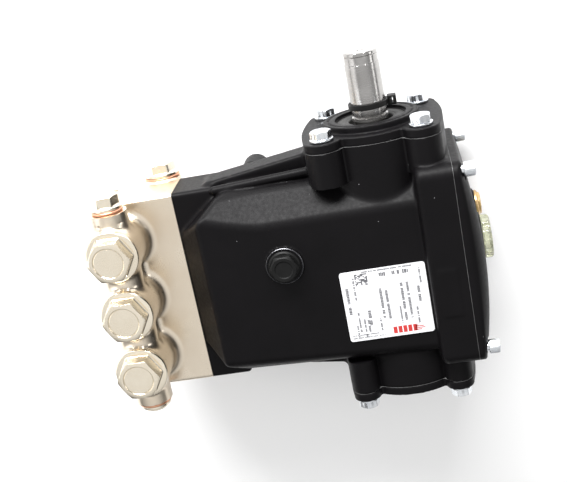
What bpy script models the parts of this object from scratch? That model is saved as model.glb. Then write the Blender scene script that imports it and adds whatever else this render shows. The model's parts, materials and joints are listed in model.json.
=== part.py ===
"""Triplex plunger pump, built as an assembly of separate pieces.

Frame: +Z up, manifold on the -Y side, rear cover on the +Y side, drive shaft out on the -X side.
Origin: on the machined base, under the crankshaft axis and the middle plunger.
Heights called "rise" are measured from the crankshaft axis. All sizes are in millimetres.
"""

import math

import bmesh
import bpy
from mathutils import Matrix, Vector

MM = 0.001

# Driving dimensions of the whole pump.
SHAFT_HEIGHT = 58.0
PLUNGER_PITCH = 44.0
CRANK_THROW = 7.0
JOINT_Y = -144.6
COVER_JOINT_Y = 48.5
HALF_WIDTH = 69.0
BODY_RISE = 44.0
BOSS_END = 89.0
SHAFT_END = 144.6

# Clearances between neighbours.
GAP = 0.3
RUNNING = 0.05
THREAD_GAP = 0.3

# Sides of the round shapes, by size.
FINE = 40
MEDIUM = 24
COARSE = 16
SMALL = 12
FLAT_MERGE = 0.002

# Hardware.
BOLT_SQUARE = 66.0
BOLT_RADIUS = 4.0
BOLT_HEX = 13.0
BOLT_HEAD = 5.4
BOLT_WASHER_RADIUS = 8.0
BOLT_WASHER = 1.6
BOLT_GRIP = 16.0
SCREW_RADIUS = 3.0
SCREW_HEAD_RADIUS = 5.0
SCREW_HEAD = 7.6
SCREW_LENGTH = 17.0
SCREW_X = 64.0
SCREW_RISE = 45.0

# Bearings, seal and shaft.
DRIVE_RADIUS = 12.0
JOURNAL_RADIUS = 12.5
BEARING_RADIUS = 31.0
BEARING_WIDTH = 17.0
BEARING_START = 66.0
SEAL_RADIUS = 23.5
SEAL_WIDTH = 7.0
BOSS_RADIUS = 40.5
COLUMN_RADIUS = 12.5
SIDE_BULGE = 48.5
PLATE_THICKNESS = 6.0
COLLAR_RADIUS = 32.8
COLLAR_RISE = 4.6
MIDDLE_RISE = 2.0
SPIGOT_OVERLAP = 2.0
GROOVE_DEPTH = 1.2
KEY_START = 109.0
KEY_END = 135.0
KEY_HALF_WIDTH = 4.0
KEY_FLOOR = 8.0
KEY_TOP = 15.0
KEY_ANGLE = 168.0
TIE_START = 105.2
TIE_END = 108.4
TIE_THICKNESS = 1.3

# Crank mechanism.
PIN_RADIUS = 16.0
PIN_WIDTH = 24.0
WEB_RADIUS = 20.0
ROD_WIDTH = 22.0
ROD_LENGTH = 72.0
ROD_RING_RADIUS = 22.5
EYE_RADIUS = 7.0
EYE_WIDTH = 13.0
WRIST_RADIUS = 4.2
WRIST_LENGTH = 18.0
GUIDE_RADIUS = 19.0
GUIDE_POCKET_RADIUS = 16.5
GUIDE_LENGTH = 44.0
GUIDE_WALL = 5.0
FREE_TRAVEL = 2 * CRANK_THROW + 1.5
PLUNGER_RADIUS = 10.0
PLUNGER_LENGTH = 68.0
PACKING_RADIUS = 14.0
PACKING_LENGTH = 15.0
CRANK_PHASES = (0.0, 120.0, 240.0)

# Crankcase.
CHAMBER_RADIUS = 36.0
CHAMBER_HALF = 62.0
CHAMBER_WALL = 3.0
BODY_HALF_TOP = 47.0
BODY_SIDE_TOP = 24.0
SLOPE_LENGTH = 17.5
COLUMN_LENGTH = 32.0
BOLT_HOLE_DEPTH = 19.0
REAR_BLOCK_START = 23.0
REAR_CORNER = 9.0
REAR_HALF_X = 70.3
REAR_HALF_RISE = 52.5
FLANGE_HALF = 71.6
FLANGE_TOP = 18.0
FLANGE_BOTTOM = -24.0
FLANGE_DEPTH = 29.0
FOOT_X = 62.0
FOOT_FRONT_Y = -92.0
FOOT_SPACING_Y = 100.0
FOOT_RADIUS = 9.0
FOOT_HEIGHT = 33.0
FOOT_HOLE_RADIUS = 3.4
FOOT_HOLE_DEPTH = 18.0
FOOT_WEB_HEIGHT = 26.0
PAD_HALF_X = 44.0
PAD_BACK_Y = 20.0
PAD_HEIGHT = 22.0
FILLER_PLACE = (-17.0, -72.0)
FILLER_SEAT_RISE = BODY_RISE + 2.4
FILLER_SEAT_RADIUS = 13.0
FILLER_BORE = 8.6
FILLER_HEX = 18.0
DOME_CREST = 13.7
DOME_SAG = 7.7
GLASS_SEAT_RADIUS = 17.5
GLASS_BORE = 12.0
GLASS_RADIUS = 15.6
DRAIN_PLACE = (-13.0, -36.0)
DRAIN_SEAT_Y = 62.8
DRAIN_SEAT_RADIUS = 11.0
DRAIN_BORE = 6.4
DRAIN_HEX = 15.0
SCREW_SEAT_Y = 55.3
LABEL_CENTRE = (20.8, -8.0)
LABEL_HALF = (25.8, 29.2)
LABEL_THICKNESS = 0.5

# Manifold.
MANIFOLD_FRONT_Y = -200.0
DISCHARGE_Y = -186.0
DISCHARGE_GALLERY_RISE = 37.0
DISCHARGE_SEAT = 51.2
SUCTION_VALVE_Y = -176.0
SUCTION_GALLERY_Y = -160.0
SUCTION_GALLERY_RISE = -32.4
SUCTION_SEAT = -45.8
CAP_RADIUS = 18.5
CAP_HEX = 27.0
CAP_FLANGE = 3.0
CAP_THREAD = 8.0
CAP_RECESS_RADIUS = 10.4
CAP_RECESS = 1.4
DISCHARGE_CAP_HEAD = 10.8
SUCTION_CAP_HEAD = 8.4
VALVE_BORE = 12.0
VALVE_THROAT = 7.5
POPPET_RADIUS = 10.0
POPPET_THICKNESS = 3.0
STEM_RADIUS = 3.0
STEM_LENGTH = 10.0
DISCHARGE_STEP = 24.0
SUCTION_STEP = -18.0
DISCHARGE_BORE = 7.0
SUCTION_BORE = 9.0
PORT_START = 52.0
PORT_END = 71.9
PORT_WASHER = 1.8
PORT_FLANGE = 2.4
PORT_THREAD = 13.0


def clear_scene():
    for obj in list(bpy.data.objects):
        bpy.data.objects.remove(obj, do_unlink=True)


def make_collection(name, hidden):
    collection = bpy.data.collections.new(name)
    bpy.context.scene.collection.children.link(collection)
    collection.hide_render = hidden
    return collection


def make_material(name, color, roughness, metallic):
    material = bpy.data.materials.new(name)
    material.use_nodes = True
    shader = material.node_tree.nodes["Principled BSDF"]
    shader.inputs["Base Color"].default_value = (*color, 1.0)
    shader.inputs["Roughness"].default_value = roughness
    shader.inputs["Metallic"].default_value = metallic
    return material


clear_scene()
PUMP = make_collection("Triplex plunger pump", False)
TOOLS = make_collection("Cutters", True)


def mesh_object(name, bm):
    """A helper object from a bmesh in millimetres; it becomes a part when it is given to part()."""
    bmesh.ops.scale(bm, vec=(MM, MM, MM), verts=bm.verts)
    mesh = bpy.data.meshes.new(name)
    bm.to_mesh(mesh)
    bm.free()
    obj = bpy.data.objects.new(name, mesh)
    TOOLS.objects.link(obj)
    obj.hide_render = True
    obj.display_type = "WIRE"
    return obj


def along(axis):
    """The rotation that lays +Z along +X or +Y, and Z itself unchanged."""
    if axis == "X":
        return Matrix.Rotation(math.radians(90), 4, "Y")
    if axis == "Y":
        return Matrix.Rotation(math.radians(-90), 4, "X")
    return Matrix.Identity(4)


def face_shaft_side(obj):
    """Lays a piece made along +Z on the crankshaft axis, its top towards the shaft side."""
    axis = Matrix.Translation((0, 0, SHAFT_HEIGHT * MM))
    obj.data.transform(axis @ Matrix.Rotation(math.radians(-90), 4, "Y"))
    return obj


def round_bar(radius, start, end, axis="Z", at=(0.0, 0.0, 0.0), sides=MEDIUM, turn=0.0):
    """A cylinder or prism along an axis from start to end; its centre line goes through the point at."""
    bm = bmesh.new()
    bmesh.ops.create_cone(
        bm, cap_ends=True, segments=sides, radius1=radius, radius2=radius, depth=end - start
    )
    place = (
        Matrix.Translation(Vector(at))
        @ along(axis)
        @ Matrix.Translation((0, 0, (start + end) / 2))
        @ Matrix.Rotation(math.radians(turn), 4, "Z")
    )
    bmesh.ops.transform(bm, matrix=place, verts=bm.verts)
    return mesh_object("bar", bm)


def hex_bar(across_flats, start, end, axis="Z", at=(0.0, 0.0, 0.0), turn=0.0):
    return round_bar(across_flats / math.sqrt(3), start, end, axis, at, sides=6, turn=turn)


def bore(radius, start, end, axis="Z", at=(0.0, 0.0, 0.0), sides=MEDIUM):
    """A cutter with its flats, not its corners, at the radius, so that a round piece of that radius fits."""
    return round_bar(radius / math.cos(math.pi / sides), start, end, axis, at, sides)


def block(low, high, rounding=0.0, segments=1):
    """A box between two corners, with all its edges rounded."""
    bm = bmesh.new()
    bmesh.ops.create_cube(bm, size=1.0)
    size = Vector(high) - Vector(low)
    middle = (Vector(high) + Vector(low)) / 2
    bmesh.ops.scale(bm, vec=size, verts=bm.verts)
    bmesh.ops.translate(bm, vec=middle, verts=bm.verts)
    if rounding:
        bmesh.ops.bevel(
            bm, geom=bm.edges[:], offset=rounding, segments=segments, profile=0.5, affect="EDGES"
        )
    return mesh_object("block", bm)


def hull(points):
    """The convex solid round a set of points."""
    bm = bmesh.new()
    for point in points:
        bm.verts.new(point)
    found = bmesh.ops.convex_hull(bm, input=bm.verts[:])
    loose = [item for item in found["geom_interior"] if isinstance(item, bmesh.types.BMVert)]
    bmesh.ops.delete(bm, geom=loose, context="VERTS")
    bmesh.ops.dissolve_limit(
        bm, angle_limit=math.radians(0.5), verts=bm.verts[:], edges=bm.edges[:]
    )
    bmesh.ops.recalc_face_normals(bm, faces=bm.faces[:])
    return mesh_object("hull", bm)


def rounded_outline(half_x, half_z, radius, y, centre_z, steps=4):
    """Points of a rectangle with round corners, in the plane at y."""
    points = []
    for sign_x, sign_z in ((1, 1), (-1, 1), (-1, -1), (1, -1)):
        for step in range(steps + 1):
            angle = math.radians(90.0 * step / steps)
            x = sign_x * (half_x - radius + radius * math.cos(angle))
            z = sign_z * (half_z - radius + radius * math.sin(angle))
            points.append((x, y, centre_z + z))
    return points


def turned(profile, axis="Z", at=(0.0, 0.0, 0.0), steps=MEDIUM):
    """A turned solid. Its profile is (radius, height) from the top down; a ring repeats its first point."""
    bm = bmesh.new()
    closed = profile[0] == profile[-1]
    points = profile[:-1] if closed else profile
    verts = [bm.verts.new((radius, 0.0, height)) for radius, height in points]
    for first, second in zip(verts, verts[1:]):
        bm.edges.new((first, second))
    if closed:
        bm.edges.new((verts[-1], verts[0]))
    obj = mesh_object("turned", bm)
    screw = obj.modifiers.new("Screw", "SCREW")
    screw.axis = "Z"
    screw.steps = steps
    screw.render_steps = steps
    screw.use_merge_vertices = True
    screw.merge_threshold = 0.00001
    bake(obj)
    obj.data.transform(Matrix.Translation(Vector(at) * MM) @ along(axis))
    return obj


def bake(obj):
    """Replaces an object's mesh by its evaluated one."""
    bpy.context.view_layer.update()
    graph = bpy.context.evaluated_depsgraph_get()
    mesh = bpy.data.meshes.new_from_object(obj.evaluated_get(graph))
    obj.modifiers.clear()
    obj.data = mesh


def combine(base, others, operation):
    """One Boolean with all the other shapes at once, which are gathered in a collection of their own."""
    group = bpy.data.collections.new(f"{operation.lower()} shapes")
    TOOLS.children.link(group)
    for other in others:
        TOOLS.objects.unlink(other)
        group.objects.link(other)
    modifier = base.modifiers.new(operation.title(), "BOOLEAN")
    modifier.operation = operation
    modifier.operand_type = "COLLECTION"
    modifier.collection = group
    bake(base)
    merge_flat_faces(base)
    return base


def merge_flat_faces(obj):
    """Joins the coplanar faces that a Boolean leaves split."""
    bm = bmesh.new()
    bm.from_mesh(obj.data)
    bmesh.ops.remove_doubles(bm, verts=bm.verts, dist=FLAT_MERGE * MM)
    bmesh.ops.dissolve_limit(
        bm, angle_limit=math.radians(0.2), verts=bm.verts[:], edges=bm.edges[:]
    )
    bm.to_mesh(obj.data)
    bm.free()


def join(first, *others):
    return combine(first, others, "UNION")


def cut(base, *others):
    return combine(base, others, "DIFFERENCE")


def part(name, obj, material, origin=(0.0, 0.0, 0.0), parent=None, smooth_angle=32.0):
    """Makes a helper object a named part whose origin is at the given point."""
    point = Vector(origin) * MM
    obj.data.transform(Matrix.Translation(-point))
    obj.location = point
    obj.name = name
    obj.data.name = name
    obj.data.materials.clear()
    obj.data.materials.append(material)
    obj.data.shade_smooth()
    obj.data.set_sharp_from_angle(angle=math.radians(smooth_angle))
    TOOLS.objects.unlink(obj)
    PUMP.objects.link(obj)
    obj.hide_render = False
    obj.display_type = "TEXTURED"
    if parent:
        obj.parent = parent
        obj.location = point - parent.location
    return obj


def axis_empty(name, place):
    """An empty on a joint's axis, which carries the pieces that move together."""
    empty = bpy.data.objects.new(name, None)
    empty.empty_display_size = 0.01
    empty.location = Vector(place) * MM
    PUMP.objects.link(empty)
    return empty


def rise(height):
    """A height above the base, from a height above the crankshaft axis."""
    return SHAFT_HEIGHT + height


def lane_x(lane):
    """The place across the pump of plunger lane 0, 1 or 2."""
    return (lane - 1) * PLUNGER_PITCH


def bolt_places():
    half = BOLT_SQUARE / 2
    return [(y, rise(z)) for y in (-half, half) for z in (half, -half)]


def lobed_plate(start, end):
    """The outline of a bearing boss: a disc with a round lobe at each bolt."""
    centre = (0, 0, SHAFT_HEIGHT)
    disc = round_bar(BOSS_RADIUS, start, end, "X", centre, sides=FINE)
    return join(disc, side_lobes(-1, start, end), side_lobes(1, start, end))


def side_lobes(side, start, end):
    """The two bolt lobes on one side of the shaft, and the full side between them."""
    half = BOLT_SQUARE / 2
    points = []
    for sign in (-1, 1):
        for step in range(COARSE + 1):
            angle = 2 * math.pi * step / COARSE
            y = side * half + COLUMN_RADIUS * math.cos(angle)
            z = sign * half + COLUMN_RADIUS * math.sin(angle)
            points += [(x, y, rise(z)) for x in (start, end)]
    points += [(x, side * SIDE_BULGE, rise(z)) for x in (start, end) for z in (-9.0, 9.0)]
    return hull(points)


def body_section(half_side, side_top, half_top, top, bottom, y):
    """Points of the crankcase's eight-sided section."""
    corners = (
        (half_top, top),
        (half_side, side_top),
        (half_side, -side_top),
        (half_top, bottom),
    )
    return [(sign * x, y, rise(z)) for sign in (1, -1) for x, z in corners]


def crankcase_shell():
    slope_y = JOINT_Y + SLOPE_LENGTH
    full = (BODY_SIDE_TOP, BODY_HALF_TOP, BODY_RISE, -BODY_RISE)
    main = hull(
        body_section(HALF_WIDTH - 7.0, 10.0, BODY_HALF_TOP + 1.0, FLANGE_TOP, FLANGE_BOTTOM, JOINT_Y)
        + body_section(HALF_WIDTH - 3.0, *full, slope_y)
        + body_section(HALF_WIDTH, *full, -80.0)
        + body_section(HALF_WIDTH, *full, REAR_BLOCK_START + 7.0)
    )
    flange = block(
        (-FLANGE_HALF, JOINT_Y, rise(FLANGE_BOTTOM)),
        (FLANGE_HALF, JOINT_Y + FLANGE_DEPTH, rise(FLANGE_TOP)),
        rounding=3.0,
    )
    inset = 4.5
    rear_end = COVER_JOINT_Y - GAP
    rear = hull(
        rounded_outline(
            REAR_HALF_X - inset, REAR_HALF_RISE - inset, 6.0, REAR_BLOCK_START, SHAFT_HEIGHT
        )
        + rounded_outline(
            REAR_HALF_X - 1.3, REAR_HALF_RISE - 1.3, 8.0, REAR_BLOCK_START + 1.3, SHAFT_HEIGHT
        )
        + rear_outline(REAR_BLOCK_START + inset)
        + rear_outline(rear_end)
    )
    boss = round_bar(
        BOSS_RADIUS, -BOSS_END, BOSS_END, "X", (0, 0, SHAFT_HEIGHT), sides=FINE
    )
    columns = []
    wedges = []
    for side in (-1, 1):
        inner, outer = sorted((side * (BOSS_END - COLUMN_LENGTH), side * BOSS_END))
        columns += [side_lobes(end, inner, outer) for end in (-1, 1)]
        wedges.append(side_wedge(side))
    return join(main, flange, rear, boss, *columns, *wedges, *base_pieces(), filler_seat())


def rear_outline(y):
    """The outline that the crankcase and its rear cover share at their joint."""
    return rounded_outline(REAR_HALF_X, REAR_HALF_RISE, REAR_CORNER, y, SHAFT_HEIGHT)


def side_wedge(side):
    """The side wall that flares from the manifold flange out to a bearing boss."""
    front_y = JOINT_Y + FLANGE_DEPTH - 4.0
    front_x, back_x = (73.5, 85.5) if side < 0 else (70.6, 82.0)
    front = [(50.0, 14.0), (front_x, 9.0), (front_x, -13.0), (50.0, -18.0)]
    back = [(50.0, 16.0), (back_x, 10.0), (back_x, -14.0), (50.0, -20.0)]
    points = [(side * x, front_y, rise(z)) for x, z in front]
    points += [(side * x, -30.0, rise(z)) for x, z in back]
    return hull(points)


def base_pieces():
    """The machined base pad and the four mounting lugs."""
    pad_front = FOOT_FRONT_Y - FOOT_RADIUS - 1.0
    pieces = [block((-PAD_HALF_X, pad_front, 0.0), (PAD_HALF_X, PAD_BACK_Y, PAD_HEIGHT))]
    foot_profile = [
        (0.0, FOOT_HEIGHT),
        (0.5 * FOOT_RADIUS, FOOT_HEIGHT - 0.8),
        (0.84 * FOOT_RADIUS, FOOT_HEIGHT - 3.0),
        (FOOT_RADIUS, FOOT_WEB_HEIGHT),
        (FOOT_RADIUS, 0.0),
        (0.0, 0.0),
    ]
    for y in (FOOT_FRONT_Y, FOOT_FRONT_Y + FOOT_SPACING_Y):
        web_high = (FOOT_X, y + FOOT_RADIUS, FOOT_WEB_HEIGHT)
        pieces.append(block((-FOOT_X, y - FOOT_RADIUS, 0.0), web_high))
        for side in (-1, 1):
            at = (side * FOOT_X, y, 0.0)
            pieces.append(turned(foot_profile, "Z", at, steps=COARSE))
    return pieces


def filler_seat():
    top = rise(FILLER_SEAT_RISE)
    root = rise(BODY_RISE - 14.0)
    profile = [
        (0.0, top),
        (FILLER_SEAT_RADIUS - 0.8, top),
        (FILLER_SEAT_RADIUS, top - 0.8),
        (FILLER_SEAT_RADIUS, root),
        (0.0, root),
    ]
    return turned(profile, "Z", (*FILLER_PLACE, 0.0), steps=COARSE)


def make_crankcase(material):
    case = crankcase_shell()
    centre = (0, 0, SHAFT_HEIGHT)
    pocket_front = JOINT_Y + FLANGE_DEPTH + CHAMBER_WALL
    tools = [
        bore(CHAMBER_RADIUS, -CHAMBER_HALF, CHAMBER_HALF, "X", centre, sides=FINE),
        block((-57.0, 2.0, rise(-29.0)), (57.0, COVER_JOINT_Y + 5.0, rise(29.0))),
        bore(BEARING_RADIUS + GAP / 3, -BOSS_END - 5.0, BOSS_END + 5.0, "X", centre, sides=FINE),
        block((-45.0, pocket_front, rise(22.0)), (45.0, -20.0, rise(39.0))),
        block((-45.0, pocket_front, rise(-38.5)), (45.0, -20.0, rise(-22.0))),
        bore(FILLER_BORE, rise(30.0), rise(60.0), "Z", (*FILLER_PLACE, 0.0), sides=COARSE),
    ]
    guide_front = guide_rest_front(0) - 4.0
    for lane in range(3):
        at = (lane_x(lane), 0, SHAFT_HEIGHT)
        tools.append(bore(GUIDE_RADIUS + RUNNING, guide_front, -20.0, "Y", at, sides=FINE))
        tools.append(bore(PLUNGER_RADIUS + 1.0, JOINT_Y - 5.0, -100.0, "Y", at, sides=COARSE))
    for side in (-1, 1):
        inner, outer = sorted((side * (BOSS_END - BOLT_HOLE_DEPTH), side * (BOSS_END + 5.0)))
        for y, z in bolt_places():
            tools.append(bore(BOLT_RADIUS + THREAD_GAP, inner, outer, "X", (0, y, z), sides=SMALL))
    for x, z in screw_places():
        hole_start = COVER_JOINT_Y - 14.0
        hole_end = COVER_JOINT_Y + 5.0
        tools.append(bore(SCREW_RADIUS + THREAD_GAP, hole_start, hole_end, "Y", (x, 0, z), sides=SMALL))
    for y in (FOOT_FRONT_Y, FOOT_FRONT_Y + FOOT_SPACING_Y):
        for x in (-FOOT_X, FOOT_X):
            tools.append(bore(FOOT_HOLE_RADIUS, -5.0, FOOT_HOLE_DEPTH, "Z", (x, y, 0.0)))
    return part("crankcase", cut(case, *tools), material)


def screw_places():
    return [(x, rise(z)) for x in (-SCREW_X, SCREW_X) for z in (SCREW_RISE, -SCREW_RISE)]


def guide_rest_front(lane):
    """Front face of a plunger guide at rest, from the free travel ahead of its connecting rod."""
    dead_centre_pin = -CRANK_THROW - ROD_LENGTH
    floor = dead_centre_pin - EYE_RADIUS - FREE_TRAVEL
    return floor - GUIDE_WALL + rest_travel(lane)


def rest_travel(lane):
    """How far a lane's plunger is back from front dead centre at rest."""
    return CRANK_THROW * (1 - math.cos(math.radians(CRANK_PHASES[lane])))


def pin_centre(lane):
    angle = math.radians(CRANK_PHASES[lane])
    y = -CRANK_THROW * math.cos(angle)
    z = CRANK_THROW * math.sin(angle)
    return (lane_x(lane), y, SHAFT_HEIGHT + z)


def make_bearing_covers(material):
    """The shaft side cover with its seal collar, and the closed cover on the other side."""
    centre = (0, 0, SHAFT_HEIGHT)
    plate_start = BOSS_END + GAP
    plate_end = plate_start + PLATE_THICKNESS
    collar_end = plate_end + COLLAR_RISE
    spigot_start = BEARING_START + BEARING_WIDTH + 2 * GAP
    holes = [
        bore(BOLT_RADIUS + THREAD_GAP, 60.0, 120.0, "X", (0, y, z), sides=SMALL)
        for y, z in bolt_places()
    ]
    spigot_end = plate_end - SPIGOT_OVERLAP
    spigot = round_bar(BEARING_RADIUS - GAP, spigot_start, spigot_end, "X", centre, sides=FINE)
    middle = round_bar(BEARING_RADIUS, spigot_end, plate_end + MIDDLE_RISE, "X", centre, sides=FINE)
    closed = join(lobed_plate(plate_start, plate_end), spigot, middle)
    hollow = bore(BEARING_RADIUS - 7.0, spigot_start - 5.0, plate_start, "X", centre)
    closed = cut(closed, *holes, hollow)
    part("closed_side_cover", closed, material)

    shaft_holes = [
        bore(BOLT_RADIUS + THREAD_GAP, -120.0, -60.0, "X", (0, y, z), sides=SMALL)
        for y, z in bolt_places()
    ]
    collar = turned(
        [
            (0.0, collar_end),
            (COLLAR_RADIUS - 1.2, collar_end),
            (COLLAR_RADIUS, collar_end - 1.2),
            (COLLAR_RADIUS, spigot_end),
            (0.0, spigot_end),
        ],
        steps=FINE,
    )
    face_shaft_side(collar)
    inner = round_bar(BEARING_RADIUS - GAP, -spigot_end, -spigot_start, "X", centre, sides=FINE)
    shaft_cover = join(lobed_plate(-plate_end, -plate_start), collar, inner)
    seal_start = collar_end - 2.2 - SEAL_WIDTH
    shaft_cover = cut(
        shaft_cover,
        *shaft_holes,
        bore(SEAL_RADIUS + GAP, -collar_end - 5.0, -seal_start + GAP, "X", centre, sides=FINE),
        bore(18.0, -seal_start - 5.0, -spigot_start + 5.0, "X", centre, sides=FINE),
    )
    part("shaft_side_cover", shaft_cover, material)
    return seal_start, plate_end


def make_seal(seal_start, rubber):
    start = seal_start
    end = start + SEAL_WIDTH
    inner = JOURNAL_RADIUS + RUNNING
    ring = turned(
        [
            (inner + 3.0, end),
            (SEAL_RADIUS, end),
            (SEAL_RADIUS, start),
            (inner, start),
            (inner, end - 1.6),
            (inner + 3.0, end),
        ],
        steps=FINE,
    )
    part("shaft_seal", face_shaft_side(ring), rubber)


def make_bearings(steel):
    for name, side in (("bearing_shaft_side", -1), ("bearing_closed_side", 1)):
        middle = side * (BEARING_START + GAP + BEARING_WIDTH / 2)
        half = BEARING_WIDTH / 2
        inner = JOURNAL_RADIUS + RUNNING
        ring = turned(
            [
                (inner, half),
                (BEARING_RADIUS - GAP, half),
                (BEARING_RADIUS - GAP, -half),
                (inner, -half),
                (inner, half),
            ],
            "X",
            (middle, 0, SHAFT_HEIGHT),
            steps=FINE,
        )
        part(name, ring, steel)


def make_rear_cover(material):
    """A domed plate: its back is an arc across the pump, and its edges fall away to a flat rim."""
    rim = COVER_JOINT_Y + 5.2
    arc_half = REAR_HALF_X - 2.0
    arc_radius = (arc_half**2 + DOME_SAG**2) / (2 * DOME_SAG)
    crest = COVER_JOINT_Y + DOME_CREST
    points = rear_outline(COVER_JOINT_Y) + rear_outline(rim)
    steps = 12
    for step in range(steps + 1):
        x = arc_half * (2 * step / steps - 1)
        back = crest - arc_radius + math.sqrt(arc_radius**2 - x**2)
        half_rise = 46.0 - 6.0 * abs(x / arc_half) ** 3
        for sign in (-1, 1):
            points.append((x, back, rise(sign * half_rise)))
    cover = hull(points)
    centre = (0, 0, rise(0))
    glass_seat = round_bar(GLASS_SEAT_RADIUS, crest - 5.0, crest + 1.0, "Y", centre)
    drain_x, drain_rise = DRAIN_PLACE
    drain_at = (drain_x, 0, rise(drain_rise))
    drain_seat = round_bar(DRAIN_SEAT_RADIUS, 56.0, DRAIN_SEAT_Y, "Y", drain_at, sides=COARSE)
    cover = join(cover, glass_seat, drain_seat)
    tools = [
        hull(
            rounded_outline(56.0, 28.0, 10.0, COVER_JOINT_Y - 5.0, SHAFT_HEIGHT)
            + rounded_outline(56.0, 28.0, 10.0, COVER_JOINT_Y + 2.0, SHAFT_HEIGHT)
            + rounded_outline(30.0, 25.0, 10.0, COVER_JOINT_Y + 8.0, SHAFT_HEIGHT)
        ),
        bore(GLASS_BORE, COVER_JOINT_Y, crest + 5.0, "Y", centre, sides=COARSE),
        bore(DRAIN_BORE, COVER_JOINT_Y - 5.0, 80.0, "Y", drain_at, sides=COARSE),
    ]
    for x, z in screw_places():
        tools.append(bore(SCREW_RADIUS + THREAD_GAP, 40.0, 70.0, "Y", (x, 0, z), sides=SMALL))
        counterbore = SCREW_HEAD_RADIUS + 1.5
        tools.append(bore(counterbore, SCREW_SEAT_Y, 75.0, "Y", (x, 0, z), sides=COARSE))
    part("rear_cover", cut(cover, *tools), material)


def make_rear_fittings(glass, brass):
    crest = COVER_JOINT_Y + DOME_CREST + 1.0
    window = turned(
        [
            (0.0, crest + 5.0),
            (6.0, crest + 5.0),
            (8.0, crest + 6.6),
            (13.4, crest + 6.6),
            (GLASS_RADIUS, crest + 5.0),
            (GLASS_RADIUS, crest + GAP),
            (GLASS_BORE - THREAD_GAP, crest + GAP),
            (GLASS_BORE - THREAD_GAP, crest - 7.0),
            (0.0, crest - 7.0),
        ],
        "Y",
        (0, 0, rise(0)),
    )
    part("sight_glass", window, glass)
    drain_x, drain_rise = DRAIN_PLACE
    at = (drain_x, 0, rise(drain_rise))
    plug = turned(
        [
            (0.0, DRAIN_SEAT_Y + 2.5),
            (DRAIN_SEAT_RADIUS - 1.0, DRAIN_SEAT_Y + 2.5),
            (DRAIN_SEAT_RADIUS - 1.0, DRAIN_SEAT_Y + GAP),
            (DRAIN_BORE - THREAD_GAP, DRAIN_SEAT_Y + GAP),
            (DRAIN_BORE - THREAD_GAP, DRAIN_SEAT_Y - 9.0),
            (0.0, DRAIN_SEAT_Y - 9.0),
        ],
        "Y",
        at,
        steps=COARSE,
    )
    head = hex_bar(DRAIN_HEX, DRAIN_SEAT_Y + 1.5, DRAIN_SEAT_Y + 4.5, "Y", at)
    part("drain_plug", join(plug, head), brass)


def make_filler_plug(plastic):
    at = (*FILLER_PLACE, 0.0)
    seat = rise(FILLER_SEAT_RISE)
    flange_radius = FILLER_SEAT_RADIUS - 2.0
    plug = turned(
        [
            (0.0, seat + 2.4),
            (flange_radius - 0.8, seat + 2.4),
            (flange_radius, seat + 1.6),
            (flange_radius, seat + GAP),
            (FILLER_BORE - THREAD_GAP, seat + GAP),
            (FILLER_BORE - THREAD_GAP, seat - 11.0),
            (0.0, seat - 11.0),
        ],
        "Z",
        at,
        steps=COARSE,
    )
    head = hex_bar(FILLER_HEX, seat + 1.5, seat + 8.0, "Z", at, turn=30.0)
    part("oil_filler_plug", join(plug, head), plastic)


def make_label(paper):
    half_x, half_y = LABEL_HALF
    middle = rise(BODY_RISE) + GAP + LABEL_THICKNESS / 2
    bm = bmesh.new()
    bmesh.ops.create_cube(bm, size=1.0)
    bmesh.ops.scale(bm, vec=(2 * half_x, 2 * half_y, LABEL_THICKNESS), verts=bm.verts)
    corners = [edge for edge in bm.edges if abs(edge.verts[0].co.z - edge.verts[1].co.z) > 0.1]
    bmesh.ops.bevel(bm, geom=corners, offset=2.0, segments=4, profile=0.5, affect="EDGES")
    bmesh.ops.translate(bm, vec=(*LABEL_CENTRE, middle), verts=bm.verts)
    part("data_label", mesh_object("label", bm), paper)


def make_bolt(name, side, y, z, seat, steel):
    """A hex bolt with its washer, along X, screwed in from one side of the pump."""
    start = seat + GAP
    washer = start + BOLT_WASHER
    shank = seat - PLATE_THICKNESS - BOLT_GRIP
    bolt = turned(
        [
            (0.0, washer),
            (BOLT_WASHER_RADIUS, washer),
            (BOLT_WASHER_RADIUS, start),
            (BOLT_RADIUS, start),
            (BOLT_RADIUS, shank),
            (0.0, shank),
        ],
        steps=SMALL,
    )
    bolt = join(bolt, hex_bar(BOLT_HEX, washer - 0.8, washer + BOLT_HEAD, turn=30.0))
    turn = Matrix.Rotation(math.radians(90 * side), 4, "Y")
    bolt.data.transform(Matrix.Translation(Vector((0, y, z)) * MM) @ turn)
    part(name, bolt, steel)


def make_fasteners(plate_end, steel):
    for name, side in (("shaft_cover_bolt", -1), ("closed_cover_bolt", 1)):
        for index, (y, z) in enumerate(bolt_places(), 1):
            make_bolt(f"{name}_{index}", side, y, z, plate_end, steel)
    for index, (x, z) in enumerate(screw_places(), 1):
        start = SCREW_SEAT_Y + GAP
        screw = turned(
            [
                (0.0, start + SCREW_HEAD),
                (SCREW_HEAD_RADIUS, start + SCREW_HEAD),
                (SCREW_HEAD_RADIUS, start),
                (SCREW_RADIUS, start),
                (SCREW_RADIUS, start - SCREW_LENGTH),
                (0.0, start - SCREW_LENGTH),
            ],
            "Y",
            (x, 0, z),
            steps=SMALL,
        )
        part(f"rear_cover_screw_{index}", screw, steel)


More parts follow.
